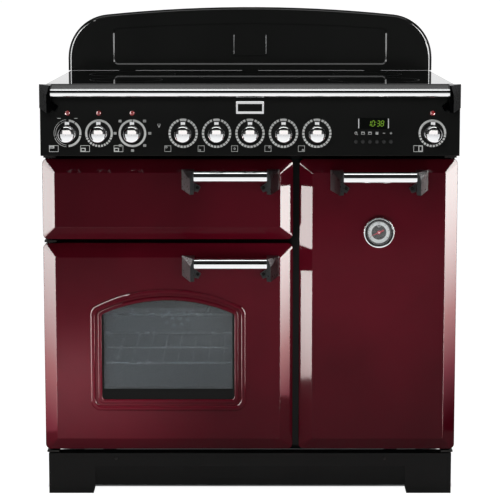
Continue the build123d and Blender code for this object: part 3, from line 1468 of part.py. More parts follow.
# Thermometer case: bezel, dial floor, pivot pin and the stem through the door
DIAL_Y = DOOR_FACE_Y - GAUGE_DEPTH + GAUGE_RECESS
with BuildPart() as thermometer_case:
    rod_y(RIGHT_MID, GAUGE_Z, DOOR_FACE_Y - GAUGE_DEPTH, DOOR_FACE_Y, GAUGE_RADIUS)
    bezel_edge = thermometer_case.edges().filter_by_position(
        Axis.Y, DOOR_FACE_Y - GAUGE_DEPTH - FIT_GAP, DOOR_FACE_Y - GAUGE_DEPTH + FIT_GAP
    )
    fillet(bezel_edge, GAUGE_ROUND)
    rod_y(
        RIGHT_MID,
        GAUGE_Z,
        DOOR_FACE_Y - GAUGE_DEPTH,
        DIAL_Y,
        GAUGE_RADIUS - GAUGE_BEZEL,
        Mode.SUBTRACT,
    )
    mouth_edge = thermometer_case.edges().filter_by_position(
        Axis.Y, DOOR_FACE_Y - GAUGE_DEPTH - FIT_GAP, DOOR_FACE_Y - GAUGE_DEPTH + FIT_GAP
    )
    chamfer(mouth_edge.sort_by(SortBy.RADIUS)[0], GAUGE_SLOPE)
    rod_y(RIGHT_MID, GAUGE_Z, DIAL_Y - NEEDLE_LIFT - 2 * NEEDLE_SHEET, DIAL_Y, GAUGE_PIN_RADIUS)
    rod_y(RIGHT_MID, GAUGE_Z, DOOR_FACE_Y, DOOR_FACE_Y + GAUGE_STEM_LENGTH, GAUGE_STEM_RADIUS)
save(thermometer_case.part, "thermometer_case")

# Thermometer needle on the pivot pin
with BuildPart() as thermometer_needle:
    needle_y = DIAL_Y - NEEDLE_LIFT
    needle_turn = math.radians(NEEDLE_REST)
    along = (math.cos(needle_turn), math.sin(needle_turn))
    across = (-along[1] * NEEDLE_WIDTH / 2, along[0] * NEEDLE_WIDTH / 2)
    with BuildSketch(front_plane(needle_y)):
        with BuildLine():
            Polyline(
                (RIGHT_MID + along[0] * NEEDLE_LENGTH, GAUGE_Z + along[1] * NEEDLE_LENGTH),
                (RIGHT_MID + across[0], GAUGE_Z + across[1]),
                (
                    RIGHT_MID - along[0] * NEEDLE_TAIL + across[0],
                    GAUGE_Z - along[1] * NEEDLE_TAIL + across[1],
                ),
                (
                    RIGHT_MID - along[0] * NEEDLE_TAIL - across[0],
                    GAUGE_Z - along[1] * NEEDLE_TAIL - across[1],
                ),
                (RIGHT_MID - across[0], GAUGE_Z - across[1]),
                close=True,
            )
        make_face()
        with Locations((RIGHT_MID, GAUGE_Z)):
            Circle(NEEDLE_HUB_RADIUS)
            Circle(GAUGE_PIN_RADIUS + FIT_GAP, mode=Mode.SUBTRACT)
    extrude(amount=NEEDLE_SHEET)
save(thermometer_needle.part, "thermometer_needle")

# Mains terminal box on the back panel, with a cable gland in its floor
with BuildPart() as mains_terminal:
    gland_y = (CASE_BACK_Y + BACK_Y) / 2
    block(
        TERMINAL_X - TERMINAL_WIDTH / 2,
        TERMINAL_X + TERMINAL_WIDTH / 2,
        CASE_BACK_Y,
        BACK_Y,
        TERMINAL_Z,
        TERMINAL_Z + TERMINAL_HEIGHT,
    )
    block(
        TERMINAL_X - TERMINAL_WIDTH / 2 + TERMINAL_SHEET,
        TERMINAL_X + TERMINAL_WIDTH / 2 - TERMINAL_SHEET,
        CASE_BACK_Y,
        BACK_Y - TERMINAL_SHEET,
        TERMINAL_Z + GLAND_LENGTH,
        TERMINAL_Z + TERMINAL_HEIGHT - TERMINAL_SHEET,
        mode=Mode.SUBTRACT,
    )
    rod_z(TERMINAL_X, gland_y, TERMINAL_Z, TERMINAL_Z + GLAND_LENGTH, GLAND_RADIUS, Mode.SUBTRACT)
save(mains_terminal.part, "mains_terminal")
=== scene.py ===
import json
import math

import bmesh
import bpy
from mathutils import Euler, Matrix, Vector


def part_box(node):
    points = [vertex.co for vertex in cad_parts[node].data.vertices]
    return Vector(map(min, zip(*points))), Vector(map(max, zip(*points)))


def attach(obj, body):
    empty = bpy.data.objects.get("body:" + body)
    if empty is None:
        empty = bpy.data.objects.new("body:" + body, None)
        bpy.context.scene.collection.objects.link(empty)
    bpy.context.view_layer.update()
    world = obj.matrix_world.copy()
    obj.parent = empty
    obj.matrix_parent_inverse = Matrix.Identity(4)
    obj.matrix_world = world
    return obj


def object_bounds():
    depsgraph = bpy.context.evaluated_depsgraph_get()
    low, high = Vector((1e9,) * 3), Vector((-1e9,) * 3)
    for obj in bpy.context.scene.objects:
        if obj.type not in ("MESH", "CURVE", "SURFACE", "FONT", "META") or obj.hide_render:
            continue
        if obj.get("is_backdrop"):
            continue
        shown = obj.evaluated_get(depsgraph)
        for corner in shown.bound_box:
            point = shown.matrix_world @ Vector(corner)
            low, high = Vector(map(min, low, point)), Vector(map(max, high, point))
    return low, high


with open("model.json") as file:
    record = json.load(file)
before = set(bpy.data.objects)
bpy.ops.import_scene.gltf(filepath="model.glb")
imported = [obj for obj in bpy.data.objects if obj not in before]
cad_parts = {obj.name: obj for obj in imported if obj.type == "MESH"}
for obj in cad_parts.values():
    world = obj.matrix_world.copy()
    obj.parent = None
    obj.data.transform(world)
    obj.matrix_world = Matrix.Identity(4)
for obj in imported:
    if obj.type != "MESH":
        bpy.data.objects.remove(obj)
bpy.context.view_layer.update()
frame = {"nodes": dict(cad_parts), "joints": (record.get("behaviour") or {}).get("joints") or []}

MM = 0.001
NODES = frame["nodes"]
JOINTS = {joint["name"]: joint for joint in frame["joints"]}

KNOBS = [
    "grill_knob",
    "left_oven_heat_knob",
    "left_oven_function_knob",
    *(f"hob_knob_{n}" for n in range(1, 6)),
    "right_oven_knob",
]
DOORS = ["grill_door", "left_door", "right_door"]

# Floor glow: how bright it is behind the range and far in front, and where it turns
FLOOR_GLOW = 0.95
FLOOR_DARK = 0.75
FLOOR_LIT_Y = -0.9
FLOOR_DARK_Y = -3.2

# Painted shadow under the range: the floor's glow is masked off where the range covers it; axis, middle and
# half its size, with a soft edge inside
FLOOR_SHADOW_PATCH = (("X", 0.0, 0.455), ("Y", 0.04, 0.24))
FLOOR_SHADOW_EDGE = 0.01

# Small gap that keeps ink and thin plates just off the face that carries them
SKIN = 0.05 * MM
INK_THICKNESS = 0.2 * MM

# Points of a piece nearer than this are one point
WELD = 0.001 * MM

# Degrees of a printed arc in one straight step
ARC_STEP = 6

# Part of a noise pattern's range that goes from one of its two looks to the other
NOISE_SPAN = (0.3, 0.7)


# Material helpers
def linear(hex_colour):
    """Linear colour of an sRGB hex value."""
    channels = [int(hex_colour[n : n + 2], 16) / 255 for n in (0, 2, 4)]
    return (*(c / 12.92 if c <= 0.04045 else ((c + 0.055) / 1.055) ** 2.4 for c in channels), 1.0)


def add_node(tree, kind, values=None, links=None, **settings):
    """Adds a shader node with its settings, socket values and links."""
    node = tree.nodes.new(kind)
    for name, value in settings.items():
        setattr(node, name, value)
    for socket, value in (values or {}).items():
        node.inputs[socket].default_value = value
    for socket, source in (links or {}).items():
        tree.links.new(source, node.inputs[socket])
    return node


def start_material(name, **values):
    """A material with one surface shader, and the place on the piece that its patterns read."""
    material = bpy.data.materials.new(name)
    material.use_nodes = True
    tree = material.node_tree
    surface = tree.nodes["Principled BSDF"]
    for socket, value in values.items():
        surface.inputs[socket.replace("_", " ")].default_value = value
    place = add_node(tree, "ShaderNodeTexCoord").outputs["Object"]
    return material, tree, surface, place


def vary_colour(tree, surface, place, light, dark, size, detail=2.0):
    """Lets the base colour drift between two colours in patches of a real size."""
    cloud = add_node(
        tree, "ShaderNodeTexNoise", {"Scale": 1 / size, "Detail": detail}, {"Vector": place}
    )
    tone = add_node(tree, "ShaderNodeValToRGB", links={"Fac": cloud.outputs["Fac"]})
    tone.color_ramp.elements[0].position = NOISE_SPAN[0]
    tone.color_ramp.elements[0].color = linear(dark)
    tone.color_ramp.elements[1].position = NOISE_SPAN[1]
    tone.color_ramp.elements[1].color = linear(light)
    tree.links.new(tone.outputs["Color"], surface.inputs["Base Color"])


def vary_roughness(tree, surface, place, low, high, size):
    """Lets the gloss drift between two roughness values in patches of a real size."""
    cloud = add_node(tree, "ShaderNodeTexNoise", {"Scale": 1 / size, "Detail": 3.0}, {"Vector": place})
    gloss = add_node(
        tree,
        "ShaderNodeMapRange",
        {"From Min": NOISE_SPAN[0], "From Max": NOISE_SPAN[1], "To Min": low, "To Max": high},
        {"Value": cloud.outputs["Fac"]},
    )
    tree.links.new(gloss.outputs["Result"], surface.inputs["Roughness"])


def raise_grain(tree, surface, place, size, height, stretch=(1, 1, 1)):
    """Bumps the surface with grain of a real size and height."""
    laid = add_node(tree, "ShaderNodeMapping", {"Scale": stretch}, {"Vector": place})
    grain = add_node(
        tree, "ShaderNodeTexNoise", {"Scale": 1 / size, "Detail": 1.0}, {"Vector": laid.outputs["Vector"]}
    )
    bump = add_node(
        tree, "ShaderNodeBump", {"Strength": 1.0, "Distance": height}, {"Height": grain.outputs["Fac"]}
    )
    tree.links.new(bump.outputs["Normal"], surface.inputs["Normal"])


# Materials
def burgundy_enamel():
    """Vitreous enamel fired on pressed steel: deep wine red under a glassy skin with a faint ripple."""
    material, tree, surface, place = start_material(
        "burgundy_vitreous_enamel", Roughness=0.06, IOR=1.45, Specular_IOR_Level=0.33
    )
    vary_colour(tree, surface, place, "6a1022", "5c0c1c", 180 * MM)
    raise_grain(tree, surface, place, 9 * MM, 0.004 * MM)
    return material


def black_enamel():
    """Gloss black vitreous enamel: near black, sharp reflections, the same faint ripple."""
    material, tree, surface, place = start_material(
        "black_vitreous_enamel", Roughness=0.09, IOR=1.5, Specular_IOR_Level=0.45
    )
    vary_colour(tree, surface, place, "232423", "1f201f", 160 * MM)
    raise_grain(tree, surface, place, 8 * MM, 0.004 * MM)
    return material


def oven_enamel():
    """Dark oven enamel: fine pale specks in a charcoal ground, as easy-clean linings have."""
    material, tree, surface, place = start_material("speckled_oven_enamel", Roughness=0.3, IOR=1.5)
    speck = add_node(tree, "ShaderNodeTexVoronoi", {"Scale": 1 / (4 * MM)}, {"Vector": place})
    tone = add_node(tree, "ShaderNodeValToRGB", links={"Fac": speck.outputs["Distance"]})
    tone.color_ramp.elements[0].position = 0.1
    tone.color_ramp.elements[0].color = linear("8a8d90")
    tone.color_ramp.elements[1].position = 0.2
    tone.color_ramp.elements[1].color = linear("3c3f43")
    tree.links.new(tone.outputs["Color"], surface.inputs["Base Color"])
    raise_grain(tree, surface, place, 3 * MM, 0.02 * MM)
    return material


def chrome_plate():
    """Bright chrome plating on polished metal: a cool mirror with faint buffing haze."""
    material, tree, surface, place = start_material(
        "bright_chrome_plate", Metallic=1.0, Base_Color=linear("e6e7e8")
    )
    vary_roughness(tree, surface, place, 0.04, 0.09, 12 * MM)
    return material


def satin_nickel():
    """Dark satin nickel on a zinc die casting: soft grey sheen with a fine blasted grain."""
    material, tree, surface, place = start_material("dark_satin_nickel", Metallic=1.0)
    vary_colour(tree, surface, place, "858889", "797c7d", 20 * MM)
    vary_roughness(tree, surface, place, 0.26, 0.36, 6 * MM)
    raise_grain(tree, surface, place, 0.7 * MM, 0.01 * MM)
    return material


def bright_steel():
    """Drawn bright steel wire: pale grey metal, slightly hazed along its length."""
    material, tree, surface, place = start_material(
        "drawn_bright_steel", Metallic=1.0, Base_Color=linear("d8dadb")
    )
    vary_roughness(tree, surface, place, 0.18, 0.32, 15 * MM)
    return material


def zinc_plate():
    """Zinc plated steel: bluish grey with soft crystal patches."""
    material, tree, surface, place = start_material("zinc_plated_steel", Metallic=1.0)
    vary_colour(tree, surface, place, "c3c8cb", "9fa5a9", 9 * MM, detail=6.0)
    vary_roughness(tree, surface, place, 0.25, 0.45, 9 * MM)
    return material


def black_nickel():
    """Black nickel on the handrail's castings: the same blasted grain, nearly black."""
    material, tree, surface, place = start_material("black_satin_nickel", Metallic=1.0)
    vary_colour(tree, surface, place, "1d1e1f", "17181a", 20 * MM)
    vary_roughness(tree, surface, place, 0.24, 0.32, 6 * MM)
    raise_grain(tree, surface, place, 0.7 * MM, 0.01 * MM)
    return material


def blacked_steel():
    """Oil-blacked steel of the hinges: dull, with a brown cast where it rubs."""
    material, tree, surface, place = start_material("oil_blacked_steel", Metallic=0.7)
    vary_colour(tree, surface, place, "262422", "1a1918", 10 * MM)
    vary_roughness(tree, surface, place, 0.4, 0.55, 8 * MM)
    return material


def galvanised_sheet():
    """Hot dipped sheet of the casing: grey metal with flat spangles a finger wide."""
    material, tree, surface, place = start_material("galvanised_sheet", Metallic=1.0)
    spangle = add_node(tree, "ShaderNodeTexVoronoi", {"Scale": 1 / (14 * MM)}, {"Vector": place})
    grey = add_node(tree, "ShaderNodeRGBToBW", links={"Color": spangle.outputs["Color"]})
    tone = add_node(tree, "ShaderNodeValToRGB", links={"Fac": grey.outputs["Val"]})
    tone.color_ramp.elements[0].color = linear("8f9496")
    tone.color_ramp.elements[1].color = linear("b3b8ba")
    tree.links.new(tone.outputs["Color"], surface.inputs["Base Color"])
    vary_roughness(tree, surface, place, 0.35, 0.5, 14 * MM)
    return material


def hob_glass():
    """Black glass ceramic: polished, with no pattern but a trace of wiped haze."""
    material, tree, surface, place = start_material(
        "black_glass_ceramic", Base_Color=linear("121214"), IOR=1.52
    )
    vary_roughness(tree, surface, place, 0.01, 0.03, 90 * MM)
    return material


def window_glass():
    """Grey heat-reflecting float glass: mostly clear, with a soft grey veil from its coating."""
    material, tree, surface, place = start_material(
        "heat_reflecting_glass", Roughness=0.02, IOR=1.5, Transmission_Weight=0.87
    )
    vary_colour(tree, surface, place, "d3d9dc", "c3cacd", 220 * MM, detail=0.0)
    return material


def screen_ink():
    """Pale grey screen ink fired on the panel: matt, with a slightly broken film."""
    material, tree, surface, place = start_material("pale_screen_ink", Roughness=0.5)
    vary_colour(tree, surface, place, "d6d7d5", "bfc1bf", 2 * MM)
    return material


def zone_ink():
    """Fine grey ink under the hob's polish, for the cooking zone marks."""
    material, tree, surface, place = start_material("grey_zone_ink", Roughness=0.3)
    vary_colour(tree, surface, place, "343535", "2a2b2b", 3 * MM)
    return material


def red_lens():
    """Red acrylic lamp lens: clear, wet-looking and dark in its depth."""
    material, tree, surface, place = start_material(
        "red_acrylic_lens", Roughness=0.05, IOR=1.49, Coat_Weight=1.0, Coat_Roughness=0.02
    )
    vary_colour(tree, surface, place, "a31218", "6e0a10", 5 * MM)
    return material


def display_glass():
    """Dark green filter over the clock: glossy plastic, almost black."""
    material, tree, surface, place = start_material("clock_filter", IOR=1.49)
    vary_colour(tree, surface, place, "0a0f0a", "060906", 15 * MM)
    vary_roughness(tree, surface, place, 0.04, 0.08, 20 * MM)
    return material


def lit_segments():
    """Green vacuum tube segments of the clock, lit from within."""
    return start_material(
        "lit_green_segment",
        Base_Color=linear("3f6a10"),
        Emission_Color=linear("a8e02a"),
        Emission_Strength=0.3,
        Roughness=0.4,
    )[0]


def black_plastic():
    """Black moulded nylon: a fine spark-eroded grain, slightly waxy."""
    material, tree, surface, place = start_material("black_moulded_nylon", IOR=1.53)
    vary_colour(tree, surface, place, "1d1e1e", "161717", 8 * MM)
    vary_roughness(tree, surface, place, 0.4, 0.55, 5 * MM)
    raise_grain(tree, surface, place, 0.8 * MM, 0.02 * MM)
    return material


def grey_plastic():
    """Pale heat-resisting moulding of the switch bodies, dry and chalky."""
    material, tree, surface, place = start_material("grey_phenolic_moulding", Roughness=0.6)
    vary_colour(tree, surface, place, "b9b8b0", "a5a49c", 6 * MM)
    raise_grain(tree, surface, place, 1.2 * MM, 0.03 * MM)
    return material


def coil_winding():
    """Enamelled litz wire wound flat: copper brown turns in rings, drawn coarser than the wire."""
    material, tree, surface, place = start_material("litz_winding", Roughness=0.4, Metallic=0.6)
    turns = add_node(
        tree,
        "ShaderNodeTexWave",
        {"Scale": 1 / (6 * MM) / math.tau, "Distortion": 2.0},
        {"Vector": place},
        wave_type="RINGS",
        rings_direction="Z",
    )
    tone = add_node(tree, "ShaderNodeValToRGB", links={"Fac": turns.outputs["Fac"]})
    tone.color_ramp.elements[0].color = linear("5a3416")
    tone.color_ramp.elements[1].color = linear("b0743a")
    tree.links.new(tone.outputs["Color"], surface.inputs["Base Color"])
    return material


def rolled_aluminium():
    """Rolled aluminium sheet: pale, dull, with rolling streaks along one way."""
    material, tree, surface, place = start_material("rolled_aluminium", Metallic=1.0)
    vary_colour(tree, surface, place, "c9cbcc", "b2b5b6", 30 * MM)
    vary_roughness(tree, surface, place, 0.35, 0.5, 20 * MM)
    raise_grain(tree, surface, place, 1.5 * MM, 0.01 * MM, stretch=(1, 0.05, 1))
    return material


def braided_seal():
    """Braided oven seal: dark fibre over rubber, dull and finely ribbed."""
    material, tree, surface, place = start_material("braided_oven_seal", Roughness=0.8)
    vary_colour(tree, surface, place, "3a3a3b", "222223", 2.5 * MM)
    raise_grain(tree, surface, place, 1.5 * MM, 0.2 * MM)
    return material


def silver_dial():
    """Silver printed dial of the thermometer: pale satin paint."""
    material, tree, surface, place = start_material("silver_dial_paint", Roughness=0.45)
    vary_colour(tree, surface, place, "eef2f2", "dfe5e6", 4 * MM)
    return material


def dark_dial():
    """Dark grey centre of the thermometer dial."""
    material, tree, surface, place = start_material("dark_dial_paint", Roughness=0.5)
    vary_colour(tree, surface, place, "2b302f", "232827", 4 * MM)
    return material


def needle_paint():
    """Red lacquer on the thermometer's needle."""
    material, tree, surface, place = start_material("red_needle_lacquer", Roughness=0.35)
    vary_colour(tree, surface, place, "c2183a", "a8122f", 3 * MM)
    return material


def lens_glass():
    """Thin clear lens over the dial: nothing but its reflections."""
    return start_material(
        "clear_dial_lens", Roughness=0.0, IOR=1.5, Transmission_Weight=1.0, Base_Color=linear("ffffff")
    )[0]


def studio_floor():
    """White studio floor lit from below: full behind the range, less in front, with a painted shadow under
    the range where its glow is masked off.
    """
    material, tree, surface, place = start_material(
        "lit_white_floor", Roughness=0.85, Emission_Color=linear("ffffff")
    )
    vary_colour(tree, surface, place, "c4c4c4", "c0c0c0", 600 * MM)
    axes = add_node(tree, "ShaderNodeSeparateXYZ", links={"Vector": place})
    glow = add_node(
        tree,
        "ShaderNodeMapRange",
        {"From Min": FLOOR_DARK_Y, "From Max": FLOOR_LIT_Y, "To Min": FLOOR_DARK, "To Max": FLOOR_GLOW},
        {"Value": axes.outputs["Y"]},
        interpolation_type="SMOOTHSTEP",
    )
    # Mask the glow off under the range: a painted shadow with a soft edge
    beyond_shadow = []
    for axis, middle, reach in FLOOR_SHADOW_PATCH:
        apart = add_node(tree, "ShaderNodeMath", {1: middle}, {0: axes.outputs[axis]}, operation="SUBTRACT")
        away = add_node(tree, "ShaderNodeMath", links={0: apart.outputs["Value"]}, operation="ABSOLUTE")
        edge = add_node(
            tree,
            "ShaderNodeMapRange",
            {"From Min": reach - FLOOR_SHADOW_EDGE, "From Max": reach},
            {"Value": away.outputs["Value"]},
            interpolation_type="SMOOTHSTEP",
        )
        beyond_shadow.append(edge.outputs["Result"])
    unshadowed_floor = add_node(
        tree, "ShaderNodeMath", links={0: beyond_shadow[0], 1: beyond_shadow[1]}, operation="MAXIMUM"
    )
    strength = add_node(
        tree,
        "ShaderNodeMath",
        links={0: glow.outputs["Result"], 1: unshadowed_floor.outputs["Value"]},
        operation="MULTIPLY",
    )
    tree.links.new(strength.outputs["Value"], surface.inputs["Emission Strength"])
    return material


BURGUNDY = burgundy_enamel()
BLACK = black_enamel()
OVEN = oven_enamel()
CHROME = chrome_plate()
NICKEL = satin_nickel()
BLACK_NICKEL = black_nickel()
STEEL = bright_steel()
ZINC = zinc_plate()
BLACKED = blacked_steel()
GALVANISED = galvanised_sheet()
HOB = hob_glass()
WINDOW = window_glass()
INK = screen_ink()
ZONE_INK = zone_ink()
LAMP = red_lens()
DISPLAY = display_glass()
SEGMENT = lit_segments()
NYLON = black_plastic()
PHENOLIC = grey_plastic()
COIL = coil_winding()
ALUMINIUM = rolled_aluminium()
SEAL = braided_seal()
DIAL = silver_dial()
DIAL_DARK = dark_dial()
NEEDLE = needle_paint()
LENS = lens_glass()
FLOOR = studio_floor()

FINISHES = {
    BURGUNDY: [f"{door}_skin" for door in DOORS],
    BLACK: ["side_panels", "front_frame", "plinth", "control_panel", "hob_frame", "backguard"],
    OVEN: [
        *(f"{door}_liner" for door in DOORS),
        "grill_cavity",
        "left_oven_cavity",
        "right_oven_cavity",
        "grill_pan",
    ],
    CHROME: ["handrail", "thermometer_case", *(f"{door}_bar" for door in DOORS), *KNOBS],
    NICKEL: [f"{door}_brackets" for door in DOORS],
    BLACK_NICKEL: ["handrail_brackets"],
    STEEL: ["oven_racks"],
    ZINC: ["front_feet", "heating_elements", "fan_motors", "left_oven_fan", "right_oven_fan"],
    BLACKED: ["hinge_plates"],
    GALVANISED: ["base_frame", "back_panel"],
    HOB: ["hob_glass"],
    WINDOW: ["left_door_glass"],
    LAMP: ["indicator_lamps"],
    DISPLAY: ["clock_window"],
    NYLON: ["rear_rollers", "mains_terminal", *(f"clock_button_{n}" for n in range(1, 7))],
    PHENOLIC: ["control_gear"],
    COIL: ["induction_coils"],
    ALUMINIUM: ["power_module"],
    SEAL: ["door_seals"],
    NEEDLE: ["thermometer_needle"],
}
for finish, names in FINISHES.items():
    for name in names:
        mesh = NODES[name].data
        mesh.materials.clear()
        mesh.materials.append(finish)


# Modelling helpers
def finish_piece(name, mesh_edit, material, body):
    """Closes a modelled piece, gives it its finish and lets it ride on a body."""
    bmesh.ops.remove_doubles(mesh_edit, verts=mesh_edit.verts, dist=WELD)
    bmesh.ops.recalc_face_normals(mesh_edit, faces=mesh_edit.faces)
    mesh = bpy.data.meshes.new(name)
    mesh_edit.to_mesh(mesh)
    mesh_edit.free()
    mesh.materials.append(material)
    piece = bpy.data.objects.new(name, mesh)
    bpy.context.scene.collection.objects.link(piece)
    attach(piece, body)
    return piece


def bar(mesh_edit, x, y, z, width, height, thickness=INK_THICKNESS, turn=0.0, spin_about=None):
    """An upright thin plate whose back lies at y, turned clockwise about a centre."""
    centre = Matrix.Translation((x, y - thickness / 2, z))
    sized = Matrix.Diagonal((width, thickness, height, 1))
    tilt = Matrix.Rotation(turn, 4, "Y")
    if spin_about:
        hub = Matrix.Translation((spin_about[0], 0, spin_about[1]))
        placed = hub @ tilt @ hub.inverted() @ centre @ sized
    else:
        placed = centre @ tilt @ sized
    bmesh.ops.create_cube(mesh_edit, size=1.0, matrix=placed)


def outline(mesh_edit, x, y, z, width, height, line):
    """A thin rectangular frame printed upright on a face at y."""
    bar(mesh_edit, x, y, z + height / 2 - line / 2, width, line)
    bar(mesh_edit, x, y, z - height / 2 + line / 2, width, line)
    bar(mesh_edit, x - width / 2 + line / 2, y, z, line, height - 2 * line)
    bar(mesh_edit, x + width / 2 - line / 2, y, z, line, height - 2 * line)


def band(mesh_edit, x, y, z, inner, outer, start, sweep, thickness=INK_THICKNESS):
    """A thin flat arc on a face at y, from one clock angle through a sweep in degrees."""
    centre = Vector((x, y, z))
    steps = max(2, round(sweep / ARC_STEP))
    full = sweep >= 360
    corners = ((inner, 0), (outer, 0), (outer, -thickness), (inner, -thickness))
    turn = Matrix.Rotation(math.radians(start), 3, "Y")
    verts = [mesh_edit.verts.new(centre + turn @ Vector((0, depth, radius))) for radius, depth in corners]
    loop = [mesh_edit.edges.new((verts[n], verts[(n + 1) % 4])) for n in range(4)]
    geometry = verts + loop
    if not full:
        geometry.append(mesh_edit.faces.new(verts))
    bmesh.ops.spin(
        mesh_edit,
        geom=geometry,
        cent=centre,
        axis=(0, 1, 0),
        angle=math.radians(sweep),
        steps=steps,
        use_merge=full,
        use_duplicate=False,
    )


def turned(mesh_edit, profile, centre, axis=(0, 1, 0), steps=48):
    """Spins a profile of points, given round the centre, into a closed turned form."""
    verts = [mesh_edit.verts.new(Vector(centre) + Vector(point)) for point in profile]
    edges = [mesh_edit.edges.new(pair) for pair in zip(verts, verts[1:])]
    bmesh.ops.spin(
        mesh_edit,
        geom=verts + edges,
        cent=centre,
        axis=axis,
        angle=2 * math.pi,
        steps=steps,
        use_merge=True,
        use_duplicate=False,
    )


def round_edges(mesh_edit, radius, segments):
    """Rounds every edge of a plate or strip."""
    bmesh.ops.bevel(
        mesh_edit,
        geom=mesh_edit.edges[:],
        offset=radius,
        segments=segments,
        profile=0.5,
        affect="EDGES",
        material=-1,
    )


def place_of(joint_name):
    """Where a joint's axis is, in metres."""
    return Vector(JOINTS[joint_name]["pos_m"])


# Control panel print: a scale ring round each knob, with gaps in degrees, and its icon
PANEL_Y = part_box("control_panel")[0].y - SKIN
HOB_RING = (26.6 * MM, 31.4 * MM)
OVEN_RING = (25.0 * MM, 29.6 * MM)
RING_LINE = 0.8 * MM
BLOCK_GAP = 4.5
HOB_BLOCK_GAP = 3.2
ICON_Z = -33 * MM

# Hob icon: its place, size and line, and where the ring for each zone lies in it, in mm
HOB_ICON_X = -33 * MM
HOB_ICON = (14 * MM, 13 * MM)
HOB_ICON_LINE = 0.7 * MM
ZONE_DOT = (1.3 * MM, 2.1 * MM)
ZONE_SPOTS = ((-3, 3), (-3, -3), (0, 0), (3, 3), (3, -3))

# Signs round the function knob, and the two dashes over the grill knob
SIGN_REACH = 37 * MM
SIGN_SIZE = (6 * MM, 5 * MM)
SIGN_FILL = 2.4 * MM
DASH_X = 18 * MM
DASH_Z = 32 * MM
DASH_SIZE = (7 * MM, 1.2 * MM)


def scale_ring(ink, hub, radii, blocks, gap, start=0.0, sweep=360.0):
    """A printed ring broken by even dark ticks."""
    step = sweep / blocks
    for n in range(blocks):
        band(ink, hub.x, PANEL_Y, hub.z, *radii, start + n * step + gap / 2, step - gap)


ink = bmesh.new()
for number, (zone_x, zone_z) in enumerate(ZONE_SPOTS, start=1):
    hub = place_of(f"hob_knob_{number}_turn")
    scale_ring(ink, hub, HOB_RING, 24, HOB_BLOCK_GAP, start=18, sweep=324)
    band(ink, hub.x, PANEL_Y, hub.z, *HOB_RING, -14, 28)
    icon = hub + Vector((HOB_ICON_X, 0, ICON_Z))
    outline(ink, icon.x, PANEL_Y, icon.z, *HOB_ICON, HOB_ICON_LINE)
    mark = icon + Vector((zone_x * MM, 0, zone_z * MM))
    band(ink, mark.x, PANEL_Y, mark.z, *ZONE_DOT, 0, 360)

heat = place_of("left_oven_heat_knob_turn")
band(ink, heat.x, PANEL_Y, heat.z, *OVEN_RING, -108, 216)
scale_ring(ink, heat, OVEN_RING, 11, BLOCK_GAP, start=108, sweep=144)

function = place_of("left_oven_function_knob_turn")
band(ink, function.x, PANEL_Y, function.z, *OVEN_RING, 2, 356)
for step in range(1, 8):
    turn = math.radians(step * 45)
    spot = function + Vector((math.sin(turn), 0, math.cos(turn))) * SIGN_REACH
    outline(ink, spot.x, PANEL_Y, spot.z, *SIGN_SIZE, RING_LINE)
    bar(ink, spot.x, PANEL_Y, spot.z, SIGN_FILL, (0.8 + 0.3 * step) * MM)

grill = place_of("grill_knob_turn")
for start, sweep in ((6, 26), (36, 62), (102, 74)):
    band(ink, grill.x, PANEL_Y, grill.z, *OVEN_RING, start, sweep)
inner, outer = OVEN_RING
for start, sweep in ((186, 66), (256, 66), (326, 28)):
    band(ink, grill.x, PANEL_Y, grill.z, inner, inner + RING_LINE, start, sweep)
    band(ink, grill.x, PANEL_Y, grill.z, outer - RING_LINE, outer, start, sweep)
for side in (-1, 1):
    bar(ink, grill.x + side * DASH_X, PANEL_Y, grill.z + DASH_Z, *DASH_SIZE)

right = place_of("right_oven_knob_turn")
band(ink, right.x, PANEL_Y, right.z, *OVEN_RING, -96, 192)
scale_ring(ink, right, OVEN_RING, 12, BLOCK_GAP, start=96, sweep=168)

# Oven icons: the range's front with the cavity that the knob serves drawn heavily.
# Each cavity's middle, width and height are in mm from the icon's middle.
OVEN_ICON_X = -30 * MM
OVEN_ICON = (20 * MM, 14 * MM)
OVEN_ICON_LINE = 0.9 * MM
CAVITY_LINE = 1.8 * MM
OVEN_ICONS = {
    "grill_knob": (-4.2, 3.0, 10.5, 5.0),
    "left_oven_heat_knob": (-4.2, -2.4, 10.5, 8.0),
    "left_oven_function_knob": (-4.2, -2.4, 10.5, 8.0),
    "right_oven_knob": (5.0, 0.0, 9.0, 13.0),
}
for knob, (cavity_x, cavity_z, cavity_width, cavity_height) in OVEN_ICONS.items():
    icon = place_of(f"{knob}_turn") + Vector((OVEN_ICON_X, 0, ICON_Z))
    outline(ink, icon.x, PANEL_Y, icon.z, *OVEN_ICON, OVEN_ICON_LINE)
    outline(
        ink,
        icon.x + cavity_x * MM,
        PANEL_Y,
        icon.z + cavity_z * MM,
        cavity_width * MM,
        cavity_height * MM,
        CAVITY_LINE,
    )

# Oven light mark beside the function knob
LIGHT_MARK = Vector((57 * MM, 0, 18 * MM))
BULB = (2.2 * MM, 3.1 * MM)
BULB_CAP = (2.6 * MM, 1.6 * MM)
BULB_CAP_DROP = 4.4 * MM
light = function + LIGHT_MARK
band(ink, light.x, PANEL_Y, light.z, *BULB, 30, 300)
bar(ink, light.x, PANEL_Y, light.z - BULB_CAP_DROP, *BULB_CAP)

